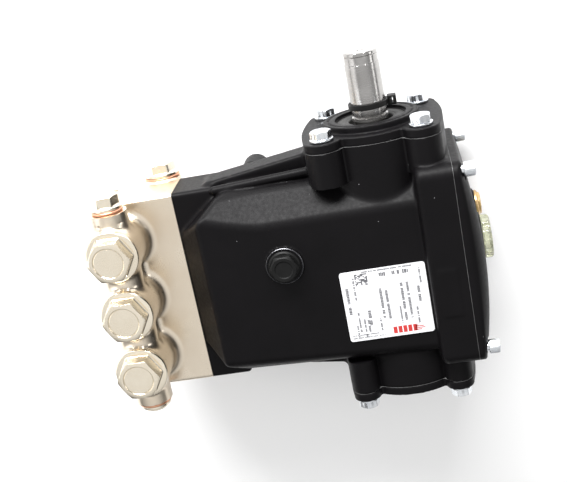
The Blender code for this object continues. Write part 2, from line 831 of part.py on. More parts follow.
def make_manifold(nickel):
    """The valve block: a low block at the joint, a discharge bar with three bosses, a suction bar below."""
    body = block(
        (-FLANGE_HALF, MANIFOLD_FRONT_Y, rise(FLANGE_BOTTOM)),
        (FLANGE_HALF, JOINT_Y - GAP, rise(FLANGE_TOP)),
        rounding=2.0,
    )
    pieces = [
        block(
            (-59.0, DISCHARGE_Y - 11.0, rise(8.0)),
            (59.0, DISCHARGE_Y + 9.0, rise(46.5)),
            rounding=3.0,
        ),
        block(
            (-66.0, SUCTION_VALVE_Y - 16.0, rise(SUCTION_SEAT)),
            (66.0, JOINT_Y - 4.0, rise(-14.0)),
            rounding=3.0,
        ),
    ]
    for lane in range(3):
        x = lane_x(lane)
        top = DISCHARGE_SEAT
        low = SUCTION_SEAT - 0.4
        pieces.append(round_bar(CAP_RADIUS, rise(6.0), rise(top), "Z", (x, DISCHARGE_Y, 0)))
        pieces.append(round_bar(CAP_RADIUS, rise(low), rise(-10.0), "Z", (x, SUCTION_VALVE_Y, 0)))
    for side in (-1, 1):
        inner, outer = sorted((side * PORT_START, side * PORT_END))
        at = (0, DISCHARGE_Y, rise(DISCHARGE_GALLERY_RISE))
        pieces.append(round_bar(13.0, inner, outer, "X", at))
        at = (0, SUCTION_GALLERY_Y, rise(SUCTION_GALLERY_RISE))
        pieces.append(round_bar(13.6, inner, outer, "X", at, sides=COARSE))
    body = join(body, *pieces)
    return part("manifold", cut(body, *manifold_tools()), nickel)


def manifold_tools():
    reach = PORT_END + 5.0
    discharge = (0, DISCHARGE_Y, rise(DISCHARGE_GALLERY_RISE))
    suction = (0, SUCTION_GALLERY_Y, rise(SUCTION_GALLERY_RISE))
    tools = [
        bore(DISCHARGE_BORE, -reach, reach, "X", discharge, sides=COARSE),
        bore(SUCTION_BORE, -reach, reach, "X", suction, sides=FINE),
    ]
    packing_front = JOINT_Y - GAP - PACKING_LENGTH - 2 * GAP
    for lane in range(3):
        x = lane_x(lane)
        at = (x, 0, SHAFT_HEIGHT)
        tools.append(bore(PACKING_RADIUS + GAP, packing_front, JOINT_Y + 5.0, "Y", at))
        tools.append(bore(PLUNGER_RADIUS + 1.5, -192.0, packing_front + 4.0, "Y", at, sides=COARSE))
        upper = (x, DISCHARGE_Y, 0)
        lower = (x, SUCTION_VALVE_Y, 0)
        tools.append(bore(VALVE_THROAT, rise(2.0), rise(30.0), "Z", upper, sides=COARSE))
        tools.append(bore(VALVE_BORE, rise(DISCHARGE_STEP), rise(60.0), "Z", upper, sides=COARSE))
        tools.append(bore(VALVE_BORE, rise(SUCTION_STEP), rise(1.0), "Z", lower, sides=COARSE))
        tools.append(bore(VALVE_THROAT, rise(-30.0), rise(-10.0), "Z", lower, sides=COARSE))
        tools.append(bore(VALVE_BORE, rise(-55.0), rise(-24.5), "Z", lower, sides=COARSE))
    return tools


def valve_cap(sign, seat, y, x, head_height):
    """A hexagon cap on a round flange, with a round recess in its face; sign is +1 when it faces up."""
    cap = turned(
        [
            (0.0, CAP_FLANGE),
            (CAP_RADIUS - 0.8, CAP_FLANGE),
            (CAP_RADIUS, CAP_FLANGE - 0.8),
            (CAP_RADIUS, GAP),
            (VALVE_BORE - THREAD_GAP, GAP),
            (VALVE_BORE - THREAD_GAP, -CAP_THREAD),
            (0.0, -CAP_THREAD),
        ],
        steps=MEDIUM,
    )
    top = CAP_FLANGE + head_height
    cap = join(cap, hex_bar(CAP_HEX, CAP_FLANGE - 1.5, top, turn=30.0))
    cap = cut(cap, round_bar(CAP_RECESS_RADIUS, top - CAP_RECESS, top + 5.0, sides=COARSE))
    turn = Matrix.Rotation(0.0 if sign > 0 else math.pi, 4, "X")
    cap.data.transform(Matrix.Translation(Vector((x, y, rise(seat))) * MM) @ turn)
    return cap


def make_valves(nickel, steel):
    for lane in range(3):
        x = lane_x(lane)
        number = lane + 1
        part(
            f"discharge_valve_cap_{number}",
            valve_cap(1, DISCHARGE_SEAT, DISCHARGE_Y, x, DISCHARGE_CAP_HEAD),
            nickel,
        )
        part(
            f"suction_valve_cap_{number}",
            valve_cap(-1, SUCTION_SEAT - 0.4, SUCTION_VALVE_Y, x, SUCTION_CAP_HEAD),
            nickel,
        )
        seat = rise(DISCHARGE_STEP) + GAP
        shoulder = seat + POPPET_THICKNESS
        upper = turned(
            [
                (0.0, shoulder + STEM_LENGTH),
                (STEM_RADIUS, shoulder + STEM_LENGTH),
                (STEM_RADIUS, shoulder),
                (POPPET_RADIUS, shoulder),
                (POPPET_RADIUS, seat),
                (0.0, seat),
            ],
            "Z",
            (x, DISCHARGE_Y, 0.0),
            steps=COARSE,
        )
        part(f"discharge_valve_{number}", upper, steel, origin=(x, DISCHARGE_Y, seat))
        seat = rise(SUCTION_STEP) + GAP
        lower = turned(
            [
                (0.0, seat + POPPET_THICKNESS),
                (POPPET_RADIUS, seat + POPPET_THICKNESS),
                (POPPET_RADIUS, seat),
                (STEM_RADIUS, seat),
                (STEM_RADIUS, seat - STEM_LENGTH),
                (0.0, seat - STEM_LENGTH),
            ],
            "Z",
            (x, SUCTION_VALVE_Y, 0.0),
            steps=COARSE,
        )
        part(f"suction_valve_{number}", lower, steel, origin=(x, SUCTION_VALVE_Y, seat))


def make_port(name, side, y, z, hole, washer_radius, across_flats, head, nickel, copper):
    """A hexagon port plug and the copper washer under it."""
    seat = PORT_END + GAP
    washer_end = seat + PORT_WASHER
    washer = turned(
        [
            (hole + GAP, washer_end),
            (washer_radius, washer_end),
            (washer_radius, seat),
            (hole + GAP, seat),
            (hole + GAP, washer_end),
        ],
        steps=COARSE,
    )
    flange = washer_end + GAP
    plug = turned(
        [
            (0.0, flange + PORT_FLANGE),
            (washer_radius - 0.8, flange + PORT_FLANGE),
            (washer_radius - 0.8, flange),
            (hole - THREAD_GAP, flange),
            (hole - THREAD_GAP, flange - PORT_THREAD),
            (0.0, flange - PORT_THREAD),
        ],
        steps=COARSE,
    )
    plug = join(plug, hex_bar(across_flats, flange + 1.2, flange + head, turn=30.0))
    turn = Matrix.Rotation(math.radians(90 * side), 4, "Y")
    place = Matrix.Translation(Vector((0, y, z)) * MM) @ turn
    washer.data.transform(place)
    plug.data.transform(place)
    part(f"{name}_plug", plug, nickel)
    part(f"{name}_washer", washer, copper)


def make_ports(nickel, copper):
    upper = (DISCHARGE_Y, rise(DISCHARGE_GALLERY_RISE))
    lower = (SUCTION_GALLERY_Y, rise(SUCTION_GALLERY_RISE))
    small = DISCHARGE_BORE
    make_port("discharge_port_shaft_side", -1, *upper, small, 11.0, 17.0, 10.0, nickel, copper)
    make_port("discharge_port_closed_side", 1, *upper, small, 12.0, 17.0, 4.5, nickel, copper)
    make_port("suction_port_shaft_side", -1, *lower, SUCTION_BORE, 13.0, 20.0, 10.0, nickel, copper)


def make_crankshaft(steel, plastic):
    """A three-throw crankshaft; it is turned on its own axis, and its pins stand off it by the throw."""
    pivot = axis_empty("crank_axis", (0, 0, SHAFT_HEIGHT))
    centre = (0, 0, SHAFT_HEIGHT)
    web_start = PLUNGER_PITCH + PIN_WIDTH / 2
    shaft = turned(
        [
            (0.0, SHAFT_END),
            (DRIVE_RADIUS - 1.0, SHAFT_END),
            (DRIVE_RADIUS - 0.4, SHAFT_END - 0.6),
            (DRIVE_RADIUS - 0.4, SHAFT_END - 8.0),
            (DRIVE_RADIUS, SHAFT_END - 8.4),
            (DRIVE_RADIUS, TIE_START - 0.2),
            (DRIVE_RADIUS - GROOVE_DEPTH, TIE_START - 0.8),
            (DRIVE_RADIUS - GROOVE_DEPTH, TIE_START - 2.6),
            (JOURNAL_RADIUS, TIE_START - 3.2),
            (JOURNAL_RADIUS, BEARING_START - 1.0),
            (WEB_RADIUS, BEARING_START - 1.0),
            (WEB_RADIUS, web_start),
            (0.0, web_start),
        ],
        steps=FINE,
    )
    face_shaft_side(shaft)
    tail = turned(
        [
            (0.0, BEARING_START + BEARING_WIDTH + 1.0),
            (JOURNAL_RADIUS - 0.8, BEARING_START + BEARING_WIDTH + 1.0),
            (JOURNAL_RADIUS, BEARING_START + BEARING_WIDTH),
            (JOURNAL_RADIUS, BEARING_START - 1.0),
            (WEB_RADIUS, BEARING_START - 1.0),
            (WEB_RADIUS, web_start),
            (0.0, web_start),
        ],
        "X",
        centre,
        steps=FINE,
    )
    web_gap = PLUNGER_PITCH - PIN_WIDTH
    pieces = [tail]
    for side in (-1, 1):
        inner = PIN_WIDTH / 2
        start, end = sorted((side * inner, side * (inner + web_gap)))
        pieces.append(round_bar(WEB_RADIUS, start, end, "X", centre))
    for lane in range(3):
        x, y, z = pin_centre(lane)
        half = PIN_WIDTH / 2 + 1.7
        pieces.append(round_bar(PIN_RADIUS, x - half, x + half, "X", (0, y, z), sides=FINE))
    shaft = join(shaft, *pieces)
    slot = block(
        (-KEY_END, -KEY_HALF_WIDTH, rise(KEY_FLOOR)),
        (-KEY_START, KEY_HALF_WIDTH, rise(KEY_TOP + 5.0)),
    )
    slot.data.transform(key_turn())
    shaft = cut(shaft, slot)
    part("crankshaft", shaft, steel, origin=centre, parent=pivot)
    key = block(
        (-KEY_END + GAP, -KEY_HALF_WIDTH + GAP, rise(KEY_FLOOR + GAP)),
        (-KEY_START - GAP, KEY_HALF_WIDTH - GAP, rise(KEY_TOP)),
        rounding=0.6,
    )
    key.data.transform(key_turn())
    part("shaft_key", key, steel, origin=centre, parent=pivot)
    part("cable_tie", cable_tie(), plastic, origin=centre, parent=pivot)
    return pivot


def key_turn():
    """The key sits on the underside of the shaft at rest."""
    axis = Matrix.Translation((0, 0, SHAFT_HEIGHT * MM))
    return axis @ Matrix.Rotation(math.radians(KEY_ANGLE), 4, "X") @ axis.inverted()


def cable_tie():
    """The plastic tie that holds the key on its shaft, a band with a square lock."""
    inner = DRIVE_RADIUS + GAP
    outer = inner + TIE_THICKNESS
    band = turned(
        [(inner, TIE_END), (outer, TIE_END), (outer, TIE_START), (inner, TIE_START), (inner, TIE_END)]
    )
    face_shaft_side(band)
    lock = block(
        (-TIE_END - 1.4, outer - 0.5, rise(-6.0)),
        (-TIE_START + 1.4, outer + 4.6, rise(1.6)),
        rounding=0.6,
    )
    room_half = KEY_HALF_WIDTH + 1.0
    key_room = block(
        (-TIE_END - 3.6, -room_half, rise(KEY_FLOOR - 2.0)),
        (-TIE_START + 5.2, room_half, rise(KEY_TOP + 1.0)),
    )
    key_room.data.transform(key_turn())
    return join(cut(band, key_room), lock)


def make_running_gear(steel, aluminium, ceramic, rubber):
    for lane in range(3):
        number = lane + 1
        pin = pin_centre(lane)
        x, y, z = pin
        pivot = axis_empty(f"con_rod_axis_{number}", pin)
        eye_y = y - ROD_LENGTH
        half = ROD_WIDTH / 2
        ring = round_bar(ROD_RING_RADIUS, x - half, x + half, "X", (0, y, z))
        shank_end = (x + 5.0, y - PIN_RADIUS - 2.0, z + 5.5)
        shank = block((x - 5.0, eye_y, z - 5.5), shank_end, rounding=1.2)
        at_eye = (0, eye_y, z)
        eye = round_bar(EYE_RADIUS, x - EYE_WIDTH / 2, x + EYE_WIDTH / 2, "X", at_eye, sides=COARSE)
        rod = cut(
            join(ring, shank, eye),
            bore(PIN_RADIUS + RUNNING, x - 20.0, x + 20.0, "X", (0, y, z), sides=FINE),
            bore(WRIST_RADIUS + GAP, x - 20.0, x + 20.0, "X", at_eye, sides=COARSE),
        )
        part(f"con_rod_{number}", rod, aluminium, origin=pin, parent=pivot)
        reach = WRIST_LENGTH / 2
        wrist = round_bar(WRIST_RADIUS, x - reach, x + reach, "X", at_eye, sides=COARSE)
        part(f"wrist_pin_{number}", wrist, steel, origin=pin, parent=pivot)
        make_plunger(lane, aluminium, ceramic)
        make_packing(lane, rubber)


def make_plunger(lane, aluminium, ceramic):
    number = lane + 1
    at = (lane_x(lane), 0, SHAFT_HEIGHT)
    front = guide_rest_front(lane)
    back = front + GUIDE_LENGTH
    guide = turned(
        [
            (GUIDE_POCKET_RADIUS, back),
            (GUIDE_RADIUS, back),
            (GUIDE_RADIUS, front + 0.8),
            (GUIDE_RADIUS - 0.8, front),
            (0.0, front),
            (0.0, front + GUIDE_WALL),
            (GUIDE_POCKET_RADIUS, front + GUIDE_WALL),
            (GUIDE_POCKET_RADIUS, back),
        ],
        "Y",
        at,
        steps=FINE,
    )
    pivot = axis_empty(f"plunger_axis_{number}", (lane_x(lane), front, SHAFT_HEIGHT))
    origin = (lane_x(lane), front, SHAFT_HEIGHT)
    part(f"plunger_guide_{number}", guide, aluminium, origin=origin, parent=pivot)
    tip = front - GAP - PLUNGER_LENGTH
    rod = turned(
        [
            (0.0, front - GAP),
            (PLUNGER_RADIUS, front - GAP),
            (PLUNGER_RADIUS, tip + 1.0),
            (PLUNGER_RADIUS - 1.0, tip),
            (0.0, tip),
        ],
        "Y",
        at,
        steps=MEDIUM,
    )
    part(f"plunger_{number}", rod, ceramic, origin=origin, parent=pivot)


def make_packing(lane, rubber):
    back = JOINT_Y - GAP
    front = back - PACKING_LENGTH
    inner = PLUNGER_RADIUS + RUNNING
    ring = turned(
        [
            (inner, back),
            (PACKING_RADIUS, back),
            (PACKING_RADIUS, front),
            (inner, front),
            (inner, back),
        ],
        "Y",
        (lane_x(lane), 0, SHAFT_HEIGHT),
        steps=MEDIUM,
    )
    part(f"packing_{lane + 1}", ring, rubber)


def build():
    paint = make_material("black_coated_aluminium", (0.012, 0.012, 0.013), 0.38, 0.0)
    nickel = make_material("nickel_plated_brass", (0.78, 0.70, 0.60), 0.28, 1.0)
    zinc = make_material("zinc_plated_steel", (0.75, 0.76, 0.78), 0.25, 1.0)
    steel = make_material("ground_steel", (0.62, 0.62, 0.63), 0.22, 1.0)
    aluminium = make_material("machined_aluminium", (0.78, 0.79, 0.80), 0.35, 1.0)
    copper = make_material("copper_washer", (0.80, 0.42, 0.28), 0.30, 1.0)
    brass = make_material("brass_plug", (0.62, 0.44, 0.25), 0.35, 1.0)
    rubber = make_material("black_rubber", (0.02, 0.02, 0.02), 0.70, 0.0)
    plastic = make_material("black_plastic", (0.015, 0.015, 0.016), 0.42, 0.0)
    ceramic = make_material("white_ceramic", (0.88, 0.87, 0.83), 0.15, 0.0)
    glass = make_material("clear_plastic", (0.80, 0.82, 0.62), 0.10, 0.0)
    paper = make_material("label_film", (0.86, 0.86, 0.86), 0.45, 0.0)
    make_crankcase(paint)
    seal_start, plate_end = make_bearing_covers(paint)
    make_seal(seal_start, rubber)
    make_bearings(steel)
    make_rear_cover(paint)
    make_rear_fittings(glass, brass)
    make_filler_plug(plastic)
    make_label(paper)
    make_fasteners(plate_end, zinc)
    make_manifold(nickel)
    make_valves(nickel, steel)
    make_ports(nickel, copper)
    make_crankshaft(steel, plastic)
    make_running_gear(steel, aluminium, ceramic, rubber)


build()
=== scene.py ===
"""Looks of a triplex plunger pump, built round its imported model.

Castings are solids given by a distance formula and meshed on a grid of points.
Screws, caps, plugs and rings are profiles carried round an axis.
Lengths are in millimetres, rises are heights above the crankshaft axis, and every mesh is stored in metres.
"""

import json
import math

import bpy
import numpy as np
from mathutils import Matrix, Vector


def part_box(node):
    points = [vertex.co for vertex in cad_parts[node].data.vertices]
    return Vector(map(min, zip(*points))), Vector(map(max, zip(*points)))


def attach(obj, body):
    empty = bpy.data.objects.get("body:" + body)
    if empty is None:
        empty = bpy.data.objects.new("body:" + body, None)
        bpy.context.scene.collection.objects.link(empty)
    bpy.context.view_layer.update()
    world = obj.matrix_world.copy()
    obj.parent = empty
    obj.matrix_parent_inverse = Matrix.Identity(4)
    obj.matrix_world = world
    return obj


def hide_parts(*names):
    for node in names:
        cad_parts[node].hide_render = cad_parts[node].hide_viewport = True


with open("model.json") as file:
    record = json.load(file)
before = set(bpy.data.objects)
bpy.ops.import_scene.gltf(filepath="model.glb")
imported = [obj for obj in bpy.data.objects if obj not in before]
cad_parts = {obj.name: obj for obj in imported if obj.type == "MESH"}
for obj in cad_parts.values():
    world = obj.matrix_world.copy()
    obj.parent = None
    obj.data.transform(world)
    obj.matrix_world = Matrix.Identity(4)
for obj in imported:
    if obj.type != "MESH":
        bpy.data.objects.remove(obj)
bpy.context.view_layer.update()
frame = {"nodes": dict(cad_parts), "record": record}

MM = 0.001
NODES = frame["nodes"]


def box_of(node):
    """Lowest and highest corners of a CAD node, in millimetres."""
    low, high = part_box(node)
    return np.array(low) / MM, np.array(high) / MM


# Driving dimensions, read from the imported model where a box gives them.
CASE_LOW, CASE_HIGH = box_of("crankcase")
SHAFT_LOW, SHAFT_HIGH = box_of("crankshaft")
REAR_LOW, REAR_HIGH = box_of("rear_cover")
MANIFOLD_LOW, MANIFOLD_HIGH = box_of("manifold")
SHAFT_COVER_LOW, SHAFT_COVER_HIGH = box_of("shaft_side_cover")
CLOSED_COVER_LOW, CLOSED_COVER_HIGH = box_of("closed_side_cover")
AXIS_Z = 58.0
LANE = 44.0
JOINT_Y = -144.6
COVER_JOINT_Y = 48.5
BOSS_END = 89.0
PLATE_END = 95.3
BOLT_HALF = 33.0
SHAFT_EAR = 12.5
CLOSED_EAR = 9.8
REAR_SHIFT = 1.3
SEAM = 0.3
BODY_RISE = 44.0
BOSS_RADIUS = 40.5
BORE_END = 110.0
COLLAR_END = 99.9
FLANGE_HALF = 71.6
FLANGE_TOP = 18.0
FLANGE_BOTTOM = -24.0
REAR_HALF_X = 70.3
REAR_HALF_RISE = 52.5
REAR_CORNER = 9.0
CAP_SCREW_X, CAP_SCREW_RISE = 64.0, 45.0
FOOT_MIDDLE_Y, FOOT_HALF_Y = -42.0, 50.0
LUG_X, BASE_HOLE_X = 63.5, 62.0
FILLER_X, FILLER_Y = -17.0, -72.0
FILLER_SEAT_RISE = BODY_RISE + 2.4
DRAIN_X, DRAIN_RISE = -13.0, -36.0
DRAIN_SEAT_Y = 62.8
DOME_CREST = 13.7
DISCHARGE_Y = -186.0
SUCTION_Y = -176.0
DISCHARGE_SEAT = 51.2
SUCTION_SEAT = 46.2
DISCHARGE_GALLERY_RISE = 37.0
SUCTION_GALLERY_Y, SUCTION_GALLERY_RISE = -160.0, -32.4
PORT_END = 71.9
SHAFT_TIP = 144.6
CRANK_THROW = 7.0
KEY_ANGLE = 168.0
LABEL_X, LABEL_Y = 20.8, -8.0
LABEL_HALF_X, LABEL_HALF_Y = 25.8, 29.2
CARD_THICKNESS = 0.5

# Meshing: the most triangles in a piece, and the angle above which an edge is sharp.
MOST_TRIANGLES = 190000
SHARP_ANGLE = 32.0


# ---------------------------------------------------------------- distance formulas

def length(*parts):
    return np.sqrt(sum(part * part for part in parts))


def together(*solids):
    """Plain union of solids, with sharp seams."""
    nearest = solids[0]
    for solid in solids[1:]:
        nearest = np.minimum(nearest, solid)
    return nearest


def fuse(a, b, fillet):
    """Union of two solids with a round fillet.

    Near the seam both distances are below the fillet's radius, and an arc joins them.
    """
    return np.maximum(fillet, np.minimum(a, b)) - length(
        np.maximum(fillet - a, 0.0), np.maximum(fillet - b, 0.0)
    )


def meet(a, b, rounding):
    """What two solids share, with the edge between them rounded by an arc."""
    return np.minimum(-rounding, np.maximum(a, b)) + length(
        np.maximum(rounding + a, 0.0), np.maximum(rounding + b, 0.0)
    )


def carve(a, b, rounding=0.05):
    return meet(a, -b, rounding)


def extruded(outline, along, start, end, rounding):
    """A flat outline's distance carried along an axis from start to end, its end edges rounded."""
    a = outline + rounding
    b = np.abs(along - (start + end) / 2) - (end - start) / 2 + rounding
    return length(np.maximum(a, 0.0), np.maximum(b, 0.0)) + np.minimum(np.maximum(a, b), 0.0) - rounding


def rod(radius, centre_distance, along, start, end, rounding=0.1):
    return extruded(centre_distance - radius, along, start, end, rounding)


def brick(x, y, z, low, high, rounding):
    """A box with every edge rounded: the distance to a smaller box, less the rounding."""
    parts = [
        np.abs(value - (a + b) / 2) - (b - a) / 2 + rounding
        for value, a, b in zip((x, y, z), low, high)
    ]
    outside = length(*[np.maximum(part, 0.0) for part in parts])
    inside = np.minimum(np.maximum(np.maximum(parts[0], parts[1]), parts[2]), 0.0)
    return outside + inside - rounding


def rounded_rectangle(a, b, half_a, half_b, radius):
    p = np.abs(a) - half_a + radius
    q = np.abs(b) - half_b + radius
    return length(np.maximum(p, 0.0), np.maximum(q, 0.0)) + np.minimum(np.maximum(p, q), 0.0) - radius


def capsule(x, y, z, start, end, radius):
    """Distance to a straight round bar with ball ends."""
    start, end = np.array(start), np.array(end)
    way = end - start
    offsets = (x - start[0], y - start[1], z - start[2])
    along = (offsets[0] * way[0] + offsets[1] * way[1] + offsets[2] * way[2]) / (way @ way)
    along = np.clip(along, 0.0, 1.0)
    return length(*[offset - along * step for offset, step in zip(offsets, way)]) - radius


def lane_offset(x):
    """Distance across to the nearest plunger lane."""
    return x - LANE * np.clip(np.round(x / LANE), -1, 1)


def ear_outline(y, rise, radius):
    """A pair of bolt ears on each side, joined into one bulged side."""
    ear = length(np.maximum(np.abs(rise) - BOLT_HALF, 0.0), np.abs(y) - BOLT_HALF)
    return ear - radius - 3.0 * (1.0 - np.minimum(1.0, np.abs(rise) / BOLT_HALF) ** 2)


def lobed_outline(y, rise, radius):
    """A disc with its two ears."""
    return fuse(length(y, rise) - BOSS_RADIUS, ear_outline(y, rise, radius), 2.5)


def rear_outline(x, rise):
    """The rear block seen from behind, a little longer on the side away from the shaft."""
    return rounded_rectangle(x - REAR_SHIFT, rise, REAR_HALF_X + REAR_SHIFT, REAR_HALF_RISE, REAR_CORNER)


def bolt_distance(y, rise):
    """Distance to the nearest of the four cover bolts."""
    return length(np.abs(y) - BOLT_HALF, np.abs(rise) - BOLT_HALF)


def cap_screw_distance(x, rise):
    """Distance to the nearest of the four rear cover screws."""
    return length(np.abs(x) - CAP_SCREW_X, np.abs(rise) - CAP_SCREW_RISE)


def discharge_gallery_distance(y, rise):
    return length(y - DISCHARGE_Y, rise - DISCHARGE_GALLERY_RISE)


def suction_gallery_distance(y, rise):
    return length(y - SUCTION_GALLERY_Y, rise - SUCTION_GALLERY_RISE)


# ---------------------------------------------------------------- meshes

def gradient(solid, points, reach=0.02):
    """Direction away from the solid at each point, from its distance a little to either side."""
    result = np.empty_like(points)
    for axis in range(3):
        step = np.zeros(3)
        step[axis] = reach
        result[:, axis] = solid(*(points + step).T) - solid(*(points - step).T)
    return result / np.maximum(np.linalg.norm(result, axis=1, keepdims=True), 1e-9)


def edge_crossings(value, axis, low, step):
    """Points where the surface crosses the grid edges of one axis, and the four cells round each."""
    before = tuple(slice(0, -1) if k == axis else slice(None) for k in range(3))
    after = tuple(slice(1, None) if k == axis else slice(None) for k in range(3))
    a, b = value[before], value[after]
    at = np.argwhere((a < 0) != (b < 0))
    start, end = a[tuple(at.T)].astype(float), b[tuple(at.T)].astype(float)
    points = low + step * at
    points[:, axis] += step * start / (start - end)
    first, second = np.eye(3, dtype=int)[(axis + 1) % 3], np.eye(3, dtype=int)[(axis + 2) % 3]
    stride = np.array([value.shape[1] * value.shape[2], value.shape[2], 1])
    cells = ((0, 0), (1, 0), (1, 1), (0, 1))
    ring = np.stack([(at - i * first - j * second) @ stride for i, j in cells], 1)
    ring[start > 0] = ring[start > 0][:, ::-1]
    return points, ring


def contour(solid, low, high, step):
    """Mesh of the surface where a solid's distance is zero.

    Each grid cell that the surface crosses gets one point, where the tangent planes at its crossed edges meet
    best. Each crossed edge gets one face, through the points of the four cells round it.
    """
    low = np.array(low, float)
    count = np.ceil((np.array(high) - low) / step).astype(int) + 1
    axes = [(low[k] + step * np.arange(count[k])).astype(np.float32) for k in range(3)]
    value = solid(*np.meshgrid(*axes, indexing="ij", sparse=True))
    found = [edge_crossings(value, axis, low, step) for axis in range(3)]
    points = np.concatenate([item[0] for item in found])
    rings = np.concatenate([item[1] for item in found])
    normals = gradient(solid, points)
    points -= solid(*points.T)[:, None] * normals
    cells, faces = np.unique(rings.ravel(), return_inverse=True)
    faces = faces.reshape(-1, 4)
    who, source = faces.ravel(), np.repeat(np.arange(len(points)), 4)
    share = np.bincount(who)[:, None]
    mean = np.stack([np.bincount(who, points[source, k]) for k in range(3)], 1) / share
    normal = normals[source]
    reach = (normal * (points[source] - mean[who])).sum(1)
    planes = np.empty((len(cells), 3, 3))
    pull = np.empty((len(cells), 3))
    for i in range(3):
        pull[:, i] = np.bincount(who, normal[:, i] * reach)
        for j in range(3):
            planes[:, i, j] = np.bincount(who, normal[:, i] * normal[:, j])
    shift = np.linalg.solve(planes + 0.06 * np.eye(3), pull[:, :, None])[:, :, 0]
    return mean + np.clip(shift, -0.9 * step, 0.9 * step), faces


def make_mesh(name, points, faces):
    """A mesh from points in millimetres and arrays of faces, one array for each number of corners."""
    mesh = bpy.data.meshes.new(name)
    mesh.vertices.add(len(points))
    mesh.vertices.foreach_set("co", (np.asarray(points, float) * MM).ravel().astype(np.float32))
    corners = np.concatenate([np.asarray(group).ravel() for group in faces]).astype(np.int32)
    sizes = np.concatenate([np.full(len(group), np.asarray(group).shape[1]) for group in faces])
    mesh.loops.add(len(corners))
    mesh.loops.foreach_set("vertex_index", corners)
    mesh.polygons.add(len(sizes))
    mesh.polygons.foreach_set("loop_start", (np.cumsum(sizes) - sizes).astype(np.int32))
    mesh.update(calc_edges=True)
    mesh.validate()
    return mesh


def place_piece(name, mesh, material, body, nodes=()):
    """A finished piece on its body, standing for the CAD nodes that it replaces."""
    obj = bpy.data.objects.new(name, mesh)
    bpy.context.scene.collection.objects.link(obj)
    mesh.materials.append(material)
    mesh.shade_smooth()
    mesh.set_sharp_from_angle(angle=math.radians(SHARP_ANGLE))
    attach(obj, body)
    if nodes:
        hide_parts(*nodes)
    return obj


def cast(name, solid, low, high, step, material, body, nodes=()):
    """A piece meshed from a distance formula, thinned where it has more triangles than a piece may have."""
    points, faces = contour(solid, np.array(low) - 2 * step, np.array(high) + 2 * step, step)
    obj = place_piece(name, make_mesh(name, points, [faces]), material, body, nodes)
    triangles = 2 * len(faces)
    if triangles > MOST_TRIANGLES:
        thin = obj.modifiers.new("Thin", "DECIMATE")
        thin.ratio = MOST_TRIANGLES / triangles
        graph = bpy.context.evaluated_depsgraph_get()
        mesh = bpy.data.meshes.new_from_object(obj.evaluated_get(graph))
        obj.modifiers.clear()
        obj.data = mesh
        mesh.shade_smooth()
        mesh.set_sharp_from_angle(angle=math.radians(SHARP_ANGLE))
    return obj


DIRECTIONS = {
    "+X": ((0, 1, 0), (0, 0, 1), (1, 0, 0)),
    "-X": ((0, 0, 1), (0, 1, 0), (-1, 0, 0)),
    "+Y": ((0, 0, 1), (1, 0, 0), (0, 1, 0)),
    "-Y": ((1, 0, 0), (0, 0, 1), (0, -1, 0)),
    "+Z": ((1, 0, 0), (0, 1, 0), (0, 0, 1)),
    "-Z": ((0, 1, 0), (1, 0, 0), (0, 0, -1)),
}


def hexagon(across_flats, corner=0.985):
    """Radius of a hexagon at each angle, its corners turned off to a circle."""
    def radius(angle):
        phase = np.mod(angle + math.pi / 6, math.pi / 3) - math.pi / 6
        return np.minimum(across_flats / 2 / np.cos(phase), corner * across_flats / math.sqrt(3))
    return radius


def chamfered(across_flats, top, circle, slope=0.577):
    """Height of a hexagon's upper edge, where a shallow cone turns its corners off."""
    radius = hexagon(across_flats)
    return lambda angle: top - (radius(angle) - circle) * slope


def spun(stations, at, direction, columns=96, turn=0.0):
    """Points and faces of a profile carried round an axis.

    A station is a radius and a height, each a number or a formula of the angle. The profile runs from its top
    down its outer side; it ends on the axis, or closes on itself where its first radius isn't zero.
    """
    angle = np.arange(columns) * 2 * math.pi / columns

    def at_angle(item):
        return item(angle) if callable(item) else np.full(columns, float(item))

    radii = np.stack([at_angle(radius) for radius, _ in stations])
    heights = np.stack([at_angle(height) for _, height in stations])
    a, b, d = (np.array(v, float) for v in DIRECTIONS[direction])
    turned = angle + math.radians(turn)
    points = (
        np.array(at, float)
        + (radii * np.cos(turned))[:, :, None] * a
        + (radii * np.sin(turned))[:, :, None] * b
        + heights[:, :, None] * d
    )
    rows = len(stations)
    index = np.arange(rows * columns).reshape(rows, columns)
    if radii[0].max() > 0:
        index = np.concatenate([index, index[:1]])
    nxt = np.roll(index, -1, axis=1)
    quads = np.stack([index[:-1], index[1:], nxt[1:], nxt[:-1]], axis=2)
    if radii[0].max() > 0:
        return points.reshape(-1, 3), [quads.reshape(-1, 4)]
    index[0] = index[0, 0]
    index[-1] = index[-1, 0]
    nxt = np.roll(index, -1, axis=1)
    top = np.stack([index[0], index[1], nxt[1]], axis=1)
    bottom = np.stack([index[-2], index[-1], nxt[-2]], axis=1)
    middle = quads[1:-1].reshape(-1, 4)
    used = np.unique(np.concatenate([top.ravel(), bottom.ravel(), middle.ravel()]))
    number = np.zeros(rows * columns, int)
    number[used] = np.arange(len(used))
    return points.reshape(-1, 3)[used], [number[top], number[bottom], number[middle]]


def turned_piece(
    name, stations, at, direction, material, body, nodes=(), columns=96, turn=0.0, edge=0.25
):
    """A turned piece on its body, its edges broken by a small bevel."""
    points, faces = spun(stations, at, direction, columns, turn)
    obj = place_piece(name, make_mesh(name, points, faces), material, body, nodes)
    if edge:
        bevel = obj.modifiers.new("Edge", "BEVEL")
        bevel.width = edge * MM
        bevel.segments = 2
        bevel.angle_limit = math.radians(SHARP_ANGLE)
    return obj


